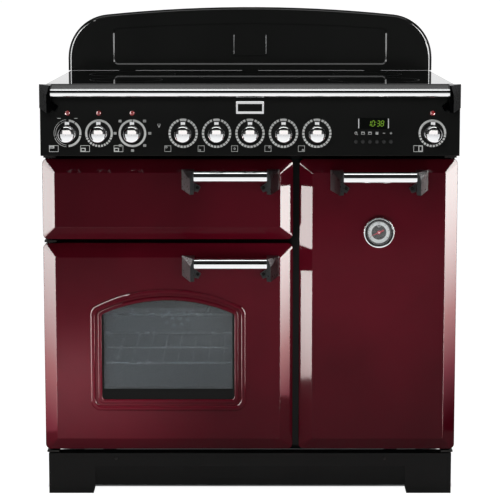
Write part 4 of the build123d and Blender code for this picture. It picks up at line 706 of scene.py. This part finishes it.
# Marks over the clock buttons: bell, two pans, hand, minus and plus
MARK_RISE = 13 * MM
BELL = (2.0 * MM, 2.9 * MM)
BELL_STROKE = (3.4 * MM, 0.9 * MM)
BELL_STROKE_AWAY = 2.8 * MM
PAN = (7.5 * MM, 4.4 * MM)
PAN_LINE = 0.8 * MM
PAN_DROP = 0.6 * MM
LID_RISE = 2.6 * MM
FINGER = (0.9 * MM, 4.2 * MM)
FINGER_PITCH = 1.5 * MM
FINGER_RISE = 0.8 * MM
PALM = (5.6 * MM, 1.4 * MM)
PALM_DROP = 2.2 * MM
STROKE_LENGTH = 5.0 * MM
STROKE_WIDTH = 1.0 * MM
for number in range(1, 7):
    low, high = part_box(f"clock_button_{number}")
    mark = Vector(((low.x + high.x) / 2, 0, high.z + MARK_RISE))
    if number == 1:
        band(ink, mark.x, PANEL_Y, mark.z, *BELL, 0, 360)
        stroke = mark + Vector((BELL_STROKE_AWAY, 0, -BELL_STROKE_AWAY))
        bar(ink, stroke.x, PANEL_Y, stroke.z, *BELL_STROKE, turn=math.radians(45))
    elif number in (2, 3):
        outline(ink, mark.x, PANEL_Y, mark.z - PAN_DROP, *PAN, PAN_LINE)
        bar(ink, mark.x, PANEL_Y, mark.z + LID_RISE, PAN[0], PAN_LINE)
    elif number == 4:
        for finger in range(4):
            finger_x = mark.x + (finger - 1.5) * FINGER_PITCH
            bar(ink, finger_x, PANEL_Y, mark.z + FINGER_RISE, *FINGER)
        bar(ink, mark.x, PANEL_Y, mark.z - PALM_DROP, *PALM)
    else:
        bar(ink, mark.x, PANEL_Y, mark.z, STROKE_LENGTH, STROKE_WIDTH)
        if number == 6:
            bar(ink, mark.x, PANEL_Y, mark.z, STROKE_WIDTH, STROKE_LENGTH)
finish_piece("panel_print", ink, INK, "cabinet")

# Clock: side strips and the time in seven-bar figures
clock_low, clock_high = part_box("clock_window")
CLOCK_Y = clock_low.y - SKIN
CLOCK_STRIP = (2.4 * MM, 21 * MM)
CLOCK_STRIP_INSET = 2.2 * MM
CLOCK_STRIP_THICKNESS = 0.5 * MM
clock_mid = (clock_low + clock_high) / 2
strips = bmesh.new()
for side in (-1, 1):
    edge = clock_mid.x + side * ((clock_high.x - clock_low.x) / 2 - CLOCK_STRIP_INSET)
    bar(strips, edge, CLOCK_Y, clock_mid.z, *CLOCK_STRIP, CLOCK_STRIP_THICKNESS)
round_edges(strips, 0.15 * MM, 2)
finish_piece("clock_strips", strips, STEEL, "cabinet")

# Which of the seven bars each figure lights:
# top, upper left, upper right, middle, lower left, lower right, foot
FIGURES = {
    "0": "1110111",
    "1": "0010010",
    "3": "1011011",
    "8": "1111111",
}
FIGURE_WIDTH = 5.6 * MM
FIGURE_HEIGHT = 11.5 * MM
FIGURE_BAR = 1.3 * MM
FIGURE_PITCH = 8.6 * MM
FIGURE_SLANT = 0.14
FIRST_FIGURE = -9.5 * MM
COLON_ROOM = 2.4 * MM
COLON_RISE = 2.6 * MM
COLON_PLACE = 1.64 * FIGURE_PITCH


def figure(mesh_edit, character, x, y, z):
    """One figure of seven bars, centred at x and z."""
    across = FIGURE_WIDTH / 2
    half = FIGURE_HEIGHT / 2
    flat = FIGURE_WIDTH - 1.3 * FIGURE_BAR
    tall = half - 0.9 * FIGURE_BAR
    spots = (
        (0, half, flat, FIGURE_BAR),
        (-across, half / 2, FIGURE_BAR, tall),
        (across, half / 2, FIGURE_BAR, tall),
        (0, 0, flat, FIGURE_BAR),
        (-across, -half / 2, FIGURE_BAR, tall),
        (across, -half / 2, FIGURE_BAR, tall),
        (0, -half, flat, FIGURE_BAR),
    )
    for lit, (dx, dz, width, height) in zip(FIGURES[character], spots):
        if lit == "1":
            bar(mesh_edit, x + dx, y, z + dz, width, height)


digits = bmesh.new()
first_x = clock_mid.x + FIRST_FIGURE
for n, character in enumerate("1038"):
    pause = COLON_ROOM if n > 1 else 0
    figure(digits, character, first_x + n * FIGURE_PITCH + pause, CLOCK_Y, clock_mid.z)
colon_x = first_x + COLON_PLACE
for side in (-1, 1):
    bar(digits, colon_x, CLOCK_Y, clock_mid.z + side * COLON_RISE, FIGURE_BAR, FIGURE_BAR)
slant = Matrix.Identity(4)
slant[0][2] = FIGURE_SLANT
to_clock = Matrix.Translation(clock_mid)
bmesh.ops.transform(digits, matrix=to_clock @ slant @ to_clock.inverted(), verts=digits.verts)
finish_piece("clock_digits", digits, SEGMENT, "cabinet")

# Bare chrome plate on the panel, with a black inlay
BADGE_SIZE = (60 * MM, 27 * MM)
BADGE_THICKNESS = 2.4 * MM
INLAY_SIZE = (52 * MM, 16 * MM)
INLAY_THICKNESS = 0.5 * MM
BADGE_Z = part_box("control_panel")[1].z - 32 * MM
badge = bmesh.new()
bar(badge, 0, PANEL_Y, BADGE_Z, *BADGE_SIZE, BADGE_THICKNESS)
round_edges(badge, 1.0 * MM, 3)
finish_piece("badge_plate", badge, CHROME, "cabinet")
inlay = bmesh.new()
bar(inlay, 0, PANEL_Y - BADGE_THICKNESS - SKIN, BADGE_Z, *INLAY_SIZE, INLAY_THICKNESS)
round_edges(inlay, 0.2 * MM, 3)
finish_piece("badge_inlay", inlay, BLACK, "cabinet")

# Bare plate in the middle of the backguard's sunk panel
guard_low, guard_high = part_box("backguard")
SUNK_DEPTH = 2.5 * MM
SUNK_Y = guard_low.y + SUNK_DEPTH - SKIN
PLAQUE_Z = guard_low.z + 65 * MM
PLAQUE_SIZE = (84 * MM, 56 * MM)
PLAQUE_THICKNESS = 1.2 * MM
plaque = bmesh.new()
bar(plaque, 0, SUNK_Y, PLAQUE_Z, *PLAQUE_SIZE, PLAQUE_THICKNESS)
round_edges(plaque, 0.5 * MM, 3)
finish_piece("backguard_plaque", plaque, BLACK, "cabinet")

# Pressed slope inside the edge of the sunk panel: its outline, inset and sunk
SUNK_HALF = guard_high.x - 110 * MM - SKIN
SUNK_TOP = guard_high.z - 38 * MM - SKIN
SUNK_FOOT = guard_high.z - 139.5 * MM + SKIN
SUNK_CROWN = 13 * MM
SUNK_CORNER = 12 * MM
SLOPE_RUN = 3.4 * MM
SLOPE_SHEET = 0.15 * MM
CROWN_CUTS = 23
CORNER_STEPS = 6
slope_y = guard_low.y + SKIN
sunk_border = bmesh.new()
shoulder = SUNK_TOP - SUNK_CROWN
places = ((-SUNK_HALF, SUNK_FOOT), (SUNK_HALF, SUNK_FOOT), (SUNK_HALF, shoulder), (-SUNK_HALF, shoulder))
corners = [sunk_border.verts.new((x, slope_y, z)) for x, z in places]
sunk_border.faces.new(corners)
bmesh.ops.subdivide_edges(sunk_border, edges=[sunk_border.edges.get(corners[2:])], cuts=CROWN_CUTS)
for vert in sunk_border.verts:
    vert.co.z += SUNK_CROWN * (1 - (vert.co.x / SUNK_HALF) ** 2)
bmesh.ops.bevel(
    sunk_border,
    geom=[vert for vert in sunk_border.verts if abs(vert.co.x) > SUNK_HALF - SKIN],
    offset=SUNK_CORNER,
    segments=CORNER_STEPS,
    profile=0.5,
    affect="VERTICES",
    material=-1,
)
(panel_face,) = sunk_border.faces
panel_face.normal_update()
if panel_face.normal.y > 0:
    panel_face.normal_flip()
bmesh.ops.inset_region(
    sunk_border,
    faces=[panel_face],
    thickness=SLOPE_RUN,
    depth=slope_y + 2 * SLOPE_SHEET - SUNK_Y,
    use_boundary=True,
    use_even_offset=True,
)
bmesh.ops.delete(sunk_border, geom=[panel_face], context="FACES_ONLY")
bmesh.ops.solidify(sunk_border, geom=sunk_border.faces[:], thickness=SLOPE_SHEET)
finish_piece("backguard_border", sunk_border, BLACK, "cabinet")

# Slim upright strips on the plate
PLAQUE_STRIP = (2.0 * MM, 46 * MM)
PLAQUE_STRIP_X = 39 * MM
PLAQUE_STRIP_THICKNESS = 0.6 * MM
strips = bmesh.new()
strip_y = SUNK_Y - PLAQUE_THICKNESS - SKIN
for side in (-1, 1):
    bar(strips, side * PLAQUE_STRIP_X, strip_y, PLAQUE_Z, *PLAQUE_STRIP, PLAQUE_STRIP_THICKNESS)
round_edges(strips, 0.2 * MM, 2)
finish_piece("plaque_strips", strips, STEEL, "cabinet")


# Screws
def screw_head(mesh_edit, x, y, z, radius, facing):
    """A round screw head with a sunk drive, on a face at y; facing is -1 to the front, 1 to the back."""
    height = radius * 0.55 * facing
    profile = [
        (0, 0.45 * height, 0),
        (0, 0.45 * height, 0.34 * radius),
        (0, 0.95 * height, 0.42 * radius),
        (0, height, 0.55 * radius),
        (0, 0.86 * height, 0.8 * radius),
        (0, 0.5 * height, 0.96 * radius),
        (0, 0, radius),
        (0, 0, 0),
    ]
    turned(mesh_edit, profile, (x, y, z), steps=24)


# Two screws along the top of the plinth
plinth_low, plinth_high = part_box("plinth")
PLINTH_SCREW = 3.2 * MM
PLINTH_SCREW_X = 295 * MM
PLINTH_SCREW_Z = plinth_high.z - 12 * MM
plinth_y = plinth_low.y - SKIN
plinth_screws = bmesh.new()
for side in (-1, 1):
    screw_head(plinth_screws, side * PLINTH_SCREW_X, plinth_y, PLINTH_SCREW_Z, PLINTH_SCREW, -1)
finish_piece("plinth_screws", plinth_screws, BLACKED, "cabinet")

# Black screws in the pockets of the handle brackets
POCKET_INSET = 34 * MM
POCKET_DROP = 26.5 * MM
POCKET_DEPTH = 2.5 * MM
POCKET_SCREW = 3.7 * MM
for door in DOORS:
    bracket_low, bracket_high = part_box(f"{door}_brackets")
    bar_low, bar_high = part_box(f"{door}_bar")
    pocket_y = bracket_high.y - POCKET_DEPTH - SKIN
    pocket_z = (bar_low.z + bar_high.z) / 2 - POCKET_DROP
    bracket_screws = bmesh.new()
    for pocket_x in (bracket_low.x + POCKET_INSET, bracket_high.x - POCKET_INSET):
        screw_head(bracket_screws, pocket_x, pocket_y, pocket_z, POCKET_SCREW, -1)
    finish_piece(f"{door}_bracket_screws", bracket_screws, BLACKED, door)

# Screws round the edge of the back panel: columns at the sides, rows at the top and foot
back_low, back_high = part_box("back_panel")
BACK_SCREW = 3.6 * MM
COLUMN_X = 434 * MM
COLUMN_END = 20 * MM
COLUMN_SCREWS = 5
ROW_END = 14 * MM
ROW_PITCH = 230 * MM
ROW_SCREWS = 4
column_pitch = (back_high.z - back_low.z - 2 * COLUMN_END) / (COLUMN_SCREWS - 1)
back_y = back_high.y + SKIN
back_screws = bmesh.new()
for side in (-1, 1):
    for n in range(COLUMN_SCREWS):
        height = back_low.z + COLUMN_END + n * column_pitch
        screw_head(back_screws, side * COLUMN_X, back_y, height, BACK_SCREW, 1)
for n in range(ROW_SCREWS):
    row_x = (n - (ROW_SCREWS - 1) / 2) * ROW_PITCH
    for height in (back_low.z + ROW_END, back_high.z - ROW_END):
        screw_head(back_screws, row_x, back_y, height, BACK_SCREW, 1)
finish_piece("back_panel_screws", back_screws, ZINC, "cabinet")

# Thermometer face on the right door
GAUGE = place_of("gauge_needle_turn")
needle_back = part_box("thermometer_needle")[1].y
NEEDLE_GAP = 1.9 * MM
DIAL_Y = needle_back + NEEDLE_GAP
DIAL_SHEET = 0.3 * MM
DIAL_RADIUS = 24.7 * MM
DIAL_RING = (15.8 * MM, 23.4 * MM)
DIAL_MARK = (2.4 * MM, 3.2 * MM)
DIAL_MARK_RISE = 14.6 * MM
PIN_HOLE = 2.0 * MM
ground = bmesh.new()
band(ground, GAUGE.x, DIAL_Y, GAUGE.z, PIN_HOLE, DIAL_RADIUS, 0, 360, thickness=DIAL_SHEET)
finish_piece("gauge_dial", ground, DIAL_DARK, "right_door")
scale = bmesh.new()
scale_y = DIAL_Y - DIAL_SHEET - SKIN
band(scale, GAUGE.x, scale_y, GAUGE.z, *DIAL_RING, 0, 360)
band(scale, GAUGE.x, scale_y, GAUGE.z + DIAL_MARK_RISE, *DIAL_MARK, 0, 360)
finish_piece("gauge_scale", scale, DIAL, "right_door")

# Scale ticks: width and length of the long and the short ones, and their turn in degrees
LONG_TICK = (0.7 * MM, 4.0 * MM)
SHORT_TICK = (0.45 * MM, 2.2 * MM)
TICK_INSET = 0.4 * MM
TICKS = 25
LONG_EVERY = 4
FIRST_TICK = -120
TICK_PITCH = 10
ticks = bmesh.new()
tick_y = scale_y - INK_THICKNESS - SKIN
for n in range(TICKS):
    width, length = LONG_TICK if n % LONG_EVERY == 0 else SHORT_TICK
    middle = DIAL_RING[1] - length / 2 - TICK_INSET
    bar(
        ticks,
        GAUGE.x,
        tick_y,
        GAUGE.z + middle,
        width,
        length,
        turn=math.radians(FIRST_TICK + n * TICK_PITCH),
        spin_about=(GAUGE.x, GAUGE.z),
    )
finish_piece("gauge_ticks", ticks, DIAL_DARK, "right_door")

# Black ring on the slope inside the bezel: a painted dark reflection, standing for the chrome slope
# mirroring dark surroundings
case_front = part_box("thermometer_case")[0].y
dark_reflection_ring = bmesh.new()
slope = [
    (0, 1.0 * MM, 29.4 * MM),
    (0, 1.4 * MM, 28.6 * MM),
    (0, 5.4 * MM, 24.6 * MM),
    (0, 8.6 * MM, 24.5 * MM),
    (0, 8.6 * MM, 24.9 * MM),
    (0, 5.6 * MM, 24.9 * MM),
    (0, 1.0 * MM, 29.4 * MM),
]
turned(dark_reflection_ring, slope, (GAUGE.x, case_front, GAUGE.z))
finish_piece("gauge_dark_reflection", dark_reflection_ring, NYLON, "right_door")

# Thin domed lens in the mouth of the bezel
LENS_RADIUS = 26.8 * MM
LENS_RISE = 0.9 * MM
LENS_RIM = 0.4 * MM
LENS_STEPS = 8
LENS_DEPTH = 2.6 * MM
lens_y = case_front + LENS_DEPTH
lens_angles = [math.pi / 2 * n / LENS_STEPS for n in range(LENS_STEPS + 1)]
lens_front = [(0, -LENS_RISE * math.cos(angle), LENS_RADIUS * math.sin(angle)) for angle in lens_angles]
lens_back = [(0, LENS_RIM, LENS_RADIUS), (0, LENS_RIM, 0)]
lens = bmesh.new()
turned(lens, lens_front + lens_back, (GAUGE.x, lens_y, GAUGE.z))
gauge_lens = finish_piece("gauge_lens", lens, LENS, "right_door")
gauge_lens.visible_shadow = False

# Black printed border round the window, on the face of the outer pane
pane_low, pane_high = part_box("left_door_glass")
BORDER_SIDE = 18 * MM
BORDER_FOOT = 37 * MM
BORDER_HEAD = 10 * MM
border_y = pane_low.y - SKIN
border = bmesh.new()
pane_x = (pane_low.x + pane_high.x) / 2
pane_width = pane_high.x - pane_low.x
pane_height = pane_high.z - pane_low.z
bar(border, pane_x, border_y, pane_low.z + BORDER_FOOT / 2, pane_width, BORDER_FOOT)
bar(border, pane_x, border_y, pane_high.z - BORDER_HEAD / 2, pane_width, BORDER_HEAD)
side_z = (pane_low.z + BORDER_FOOT + pane_high.z - BORDER_HEAD) / 2
for side in (-1, 1):
    side_x = pane_x + side * (pane_width - BORDER_SIDE) / 2
    bar(border, side_x, border_y, side_z, BORDER_SIDE, pane_height - BORDER_FOOT - BORDER_HEAD)
finish_piece("window_border", border, BLACK, "left_door")

# Cooking zone marks on the hob glass, over the coils: each one's middle and radius in mm
glass_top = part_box("hob_glass")[1].z
ZONES = (
    (-275, -118, 80),
    (-275, 118, 100),
    (0, 0, 116),
    (275, 118, 80),
    (275, -118, 100),
)
ZONE_LINE = 0.8 * MM
ZONE_FILM = 0.06 * MM
ZONE_STEPS = 96
zones = bmesh.new()
for zone_x, zone_y, radius in ZONES:
    inner = radius * MM
    outer = inner + ZONE_LINE
    section = [(inner, 0, 0), (outer, 0, 0), (outer, 0, ZONE_FILM), (inner, 0, ZONE_FILM), (inner, 0, 0)]
    turned(zones, section, (zone_x * MM, zone_y * MM, glass_top), (0, 0, 1), ZONE_STEPS)
finish_piece("zone_marks", zones, ZONE_INK, "cabinet")

# Camera: lens and sensor in mm, shift in parts of the picture, place in metres, pitch down in degrees
CAMERA_LENS = 134.7
CAMERA_SENSOR = 36.0
CAMERA_SHIFT = -0.08
CAMERA_PLACE = (0.0, -4.274, 1.140)
CAMERA_PITCH = 7.22
camera_data = bpy.data.cameras.new("camera")
camera_data.lens = CAMERA_LENS
camera_data.sensor_width = CAMERA_SENSOR
camera_data.shift_y = CAMERA_SHIFT
camera = bpy.data.objects.new("camera", camera_data)
camera.location = CAMERA_PLACE
camera.rotation_euler = (math.radians(90 - CAMERA_PITCH), 0, 0)
bpy.context.scene.collection.objects.link(camera)
bpy.context.scene.camera = camera


# Studio helpers
def flat_sheet(name, material, centre, size, turn=(0, 0, 0)):
    """A flat sheet of the studio, turned from lying on the floor."""
    edit = bmesh.new()
    bmesh.ops.create_grid(edit, x_segments=2, y_segments=2, size=0.5)
    sized = Matrix.Diagonal((*size, 1, 1))
    tilt = Euler([math.radians(angle) for angle in turn]).to_matrix().to_4x4()
    bmesh.ops.transform(edit, matrix=Matrix.Translation(centre) @ tilt @ sized, verts=edit.verts)
    mesh = bpy.data.meshes.new(name)
    edit.to_mesh(mesh)
    edit.free()
    mesh.materials.append(material)
    sheet = bpy.data.objects.new(name, mesh)
    bpy.context.scene.collection.objects.link(sheet)
    sheet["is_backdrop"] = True
    return sheet


def link_light(light, pieces, state):
    """Ties a light to the named pieces: INCLUDE lights only them, EXCLUDE all but them."""
    linked = bpy.data.collections.new(f"{light.name}_linked")
    for piece in pieces:
        linked.objects.link(bpy.data.objects[piece])
    for entry in linked.collection_objects:
        entry.light_linking.link_state = state
    light.light_linking.receiver_collection = linked


def softbox(name, place, aim, size, radiance, glossy=True):
    """A rectangular studio light at a place, turned towards an aim, of a set brightness."""
    width, height = size
    data = bpy.data.lights.new(name, "AREA")
    data.shape = "RECTANGLE"
    data.size = width
    data.size_y = height
    data.energy = radiance * math.pi * width * height
    lamp = bpy.data.objects.new(name, data)
    lamp.location = place
    lamp.rotation_euler = (Vector(aim) - Vector(place)).to_track_quat("-Z", "Y").to_euler()
    lamp.visible_camera = False
    lamp.visible_glossy = glossy
    bpy.context.scene.collection.objects.link(lamp)
    return lamp


def at_side(side, point):
    """A point given for the right side, on the side that is -1 or 1."""
    x, y, z = point
    return (side * x, y, z)


def emission_material(name):
    """An empty light-giving material: its nodes, the spot on the card, and its emission."""
    material = bpy.data.materials.new(name)
    material.use_nodes = True
    tree = material.node_tree
    tree.nodes.remove(tree.nodes["Principled BSDF"])
    spot = add_node(tree, "ShaderNodeTexCoord").outputs["Object"]
    light = add_node(tree, "ShaderNodeEmission")
    tree.links.new(light.outputs["Emission"], tree.nodes["Material Output"].inputs["Surface"])
    return material, tree, spot, light


def rising_light(name, glow, fade):
    """Light that grows upwards and to the front over the fade, from black by red and pink to white."""
    material, tree, spot, light = emission_material(name)
    lean = add_node(tree, "ShaderNodeVectorMath", {1: CARD_LEAN}, {0: spot}, operation="DOT_PRODUCT")
    rise = add_node(
        tree,
        "ShaderNodeMapRange",
        {"From Min": fade[0], "From Max": fade[1]},
        {"Value": lean.outputs["Value"]},
        interpolation_type="SMOOTHSTEP",
    )
    tint = add_node(tree, "ShaderNodeValToRGB", links={"Fac": rise.outputs["Result"]})
    tint.color_ramp.elements[0].color = (0, 0, 0, 1)
    tint.color_ramp.elements[1].color = CARD_WHITE
    for position, colour in CARD_TINTS:
        tint.color_ramp.elements.new(position).color = colour
    light.inputs["Strength"].default_value = glow
    tree.links.new(tint.outputs["Color"], light.inputs["Color"])
    return material


def reflector_card(name, material, centre, size, turn, mirrors):
    """A glowing card that only the named pieces mirror."""
    card = flat_sheet(name, material, centre, size, turn)
    card.visible_camera = False
    card.visible_diffuse = False
    card.visible_transmission = False
    card.visible_shadow = False
    link_light(card, mirrors, "INCLUDE")


def pool_glow(lamp, middle, reach, peak, rest):
    """Lets a lamp glow round a middle and die away over a reach, twice as long in depth."""
    lamp.data.use_nodes = True
    tree = lamp.data.node_tree
    spot = add_node(tree, "ShaderNodeNewGeometry").outputs["Position"]
    flat = add_node(tree, "ShaderNodeMapping", {"Scale": (1, 0.5, 1)}, {"Vector": spot})
    apart = add_node(
        tree,
        "ShaderNodeVectorMath",
        {1: (middle[0], middle[1] / 2, 0)},
        {0: flat.outputs["Vector"]},
        operation="DISTANCE",
    )
    pool = add_node(
        tree,
        "ShaderNodeMapRange",
        {"From Min": 0.0, "From Max": reach, "To Min": peak, "To Max": rest},
        {"Value": apart.outputs["Value"]},
        interpolation_type="SMOOTHSTEP",
    )
    tree.links.new(pool.outputs["Result"], tree.nodes["Emission"].inputs["Strength"])


# Floor, with its glow flagged off the dark finishes
FLOOR_SIZE = (120, 120)
FLAGGED = [BURGUNDY, BLACK, NICKEL, BLACK_NICKEL, WINDOW, DISPLAY]
FLAGGED_PIECES = ["backguard_plaque", "backguard_border", "badge_inlay", "window_border"]
floor = flat_sheet("studio_floor", FLOOR, (0, 0, 0), FLOOR_SIZE)
flagged = [name for finish in FLAGGED for name in FINISHES[finish]]
link_light(floor, [*flagged, *FLAGGED_PIECES], "EXCLUDE")

# Cards at the sides light the doors' bevels and the lamps: side, glow and the span of the fade
SKINS = FINISHES[BURGUNDY]
CARD_LEAN = (0, -1, 1)
CARD_TINTS = ((0.14, (0.15, 0.043, 0.055, 1)), (0.42, (0.42, 0.228, 0.226, 1)))
CARD_WHITE = (1, 0.95, 0.93, 1)
SIDE_CARD_PLACE = (1.0, -0.58, 1.05)
SIDE_CARD_SIZE = (0.66, 2.1)
SIDE_CARDS = {"left": (-1, 24.0, (0.24, 0.97)), "right": (1, 32.0, (0.40, 1.06))}
SIDE_MIRRORS = [*SKINS, "indicator_lamps"]
for edge, (side, glow, fade) in SIDE_CARDS.items():
    card_light = rising_light(f"{edge}_card_light", glow, fade)
    place = at_side(side, SIDE_CARD_PLACE)
    reflector_card(f"{edge}_card", card_light, place, SIDE_CARD_SIZE, (90, 0, -90 * side), SIDE_MIRRORS)

# A wide card far in front, which the knobs mirror
KNOB_CARD_PLACE = (0, -55.0, 13.6)
KNOB_CARD_SIZE = (60.0, 27.0)
KNOB_CARD_GLOW = 1.25
KNOB_CARD_FADE = (-2.0, -1.0)
knob_light = rising_light("knob_card_light", KNOB_CARD_GLOW, KNOB_CARD_FADE)
reflector_card("knob_card", knob_light, KNOB_CARD_PLACE, KNOB_CARD_SIZE, (90, 0, 0), KNOBS)

# Boxes at both sides and overhead, and lights at the sides that only the backguard or its border mirrors
BOX_PLACE = (2.3, -0.8, 1.0)
BOX_AIM = (0.3, -0.3, 0.9)
BOX_SIZE = (0.7, 1.3)
BOX_GLOW = 1.2
RIM_PLACE = (0.9, -0.4, 1.1)
RIM_AIM = (0.42, 0.28, 1.05)
RIM_SIZE = (0.4, 0.6)
RIM_GLOWS = {"backguard": 24.0, "backguard_border": 7.0}
for edge, side in (("left", -1), ("right", 1)):
    softbox(f"{edge}_box", at_side(side, BOX_PLACE), at_side(side, BOX_AIM), BOX_SIZE, BOX_GLOW)
    for piece, glow in RIM_GLOWS.items():
        name = f"{edge}_{piece}_light"
        rim_light = softbox(name, at_side(side, RIM_PLACE), at_side(side, RIM_AIM), RIM_SIZE, glow)
        rim_light.visible_diffuse = False
        link_light(rim_light, [piece], "INCLUDE")
OVER_PLACE = (0, -0.5, 2.4)
OVER_AIM = (0, -0.3, 0.85)
OVER_SIZE = (2.4, 0.7)
OVER_GLOW = 2.0
softbox("over_box", OVER_PLACE, OVER_AIM, OVER_SIZE, OVER_GLOW)

# A pool of light on the floor hazes the doors
POOL_PLACE = (0, -4.7, 0.002)
POOL_AIM = (0, -4.7, 1)
POOL_SIZE = (7.0, 8.2)
POOL_MIDDLE = (-0.55, -1.45)
POOL_REACH = 0.55
POOL_PEAK = 1.05
POOL_REST = 0.08
floor_pool = softbox("floor_pool", POOL_PLACE, POOL_AIM, POOL_SIZE, 1.0)
floor_pool.visible_diffuse = False
pool_glow(floor_pool, POOL_MIDDLE, POOL_REACH, POOL_PEAK, POOL_REST)
link_light(floor_pool, SKINS, "INCLUDE")

# Front fill, weaker on the doors, the window's border and the plinth
DOOR_SIDE = [*SKINS, "plinth", "window_border"]
FILL_PLACE = (-0.6, -3.4, 2.2)
FILL_AIM = (0, -0.3, 0.6)
FILL_SIZE = (2.4, 1.2)
FILLS = {"front_fill": (3.0, "EXCLUDE"), "door_fill": (0.9, "INCLUDE")}
for name, (glow, state) in FILLS.items():
    fill = softbox(name, FILL_PLACE, FILL_AIM, FILL_SIZE, glow, glossy=False)
    link_light(fill, DOOR_SIDE, state)

# Kick lights low on the doors: place, aim, size and glow
KICKS = {
    "left_kick": ((-0.5, -0.47, 0.25), (-0.5, 0, 0.25), (0.5, 0.06), 6.0),
    "right_kick": ((0.2, -0.57, 0.48), (0.2, 0, 0.48), (0.7, 0.1), 2.7),
}
for name, (place, aim, size, glow) in KICKS.items():
    kick = softbox(name, place, aim, size, glow, glossy=False)
    link_light(kick, SKINS, "INCLUDE")

# Oven lamp glow behind the window, on all but the racks
oven_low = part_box("left_oven_cavity")[0]
OVEN_LAMP_PLACE = (oven_low.x + 0.12, -0.15, oven_low.z + 0.26)
OVEN_LAMP_AIM = (oven_low.x + 0.12, 0.12, oven_low.z)
OVEN_LAMP_SIZE = (0.20, 0.10)
OVEN_LAMP_GLOW = 30.0
oven_lamp = softbox("oven_lamp", OVEN_LAMP_PLACE, OVEN_LAMP_AIM, OVEN_LAMP_SIZE, OVEN_LAMP_GLOW)
link_light(oven_lamp, ["oven_racks"], "EXCLUDE")

# Glint along the racks, from the front through the glass
GLINT_PLACE = (-0.2, -2.5, 1.3)
GLINT_AIM = (-0.2, 0, 0.35)
GLINT_SIZE = (1.5, 0.6)
GLINT_GLOW = 16.0
rack_glint = softbox("rack_glint", GLINT_PLACE, GLINT_AIM, GLINT_SIZE, GLINT_GLOW)
rack_glint.visible_diffuse = False
link_light(rack_glint, ["oven_racks", "left_door_glass"], "INCLUDE")

# Studio walls: bright behind the range, dim in front of it and overhead.
# Each row gives a direction's part along an axis and the brightness at its two ends.
WALLS = (("Y", 0.0, 0.6, 0.10, 1.05), ("Z", 0.2, 0.6, 1.0, 0.12))
world = bpy.data.worlds.new("studio")
world.use_nodes = True
bpy.context.scene.world = world
sky = world.node_tree
direction = add_node(sky, "ShaderNodeTexCoord").outputs["Generated"]
axes = add_node(sky, "ShaderNodeSeparateXYZ", links={"Vector": direction})
shades = []
for axis, near, far, near_glow, far_glow in WALLS:
    shade = add_node(
        sky,
        "ShaderNodeMapRange",
        {"From Min": near, "From Max": far, "To Min": near_glow, "To Max": far_glow},
        {"Value": axes.outputs[axis]},
    )
    shades.append(shade.outputs["Result"])
strength = add_node(sky, "ShaderNodeMath", links={0: shades[0], 1: shades[1]}, operation="MULTIPLY")
sky.links.new(strength.outputs["Value"], sky.nodes["Background"].inputs["Strength"])
sky.nodes["Background"].inputs["Color"].default_value = (1, 1, 1, 1)
bpy.context.scene.view_settings.view_transform = "Standard"

# Real size of the dressed model: the solids and the added pieces together
low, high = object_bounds()
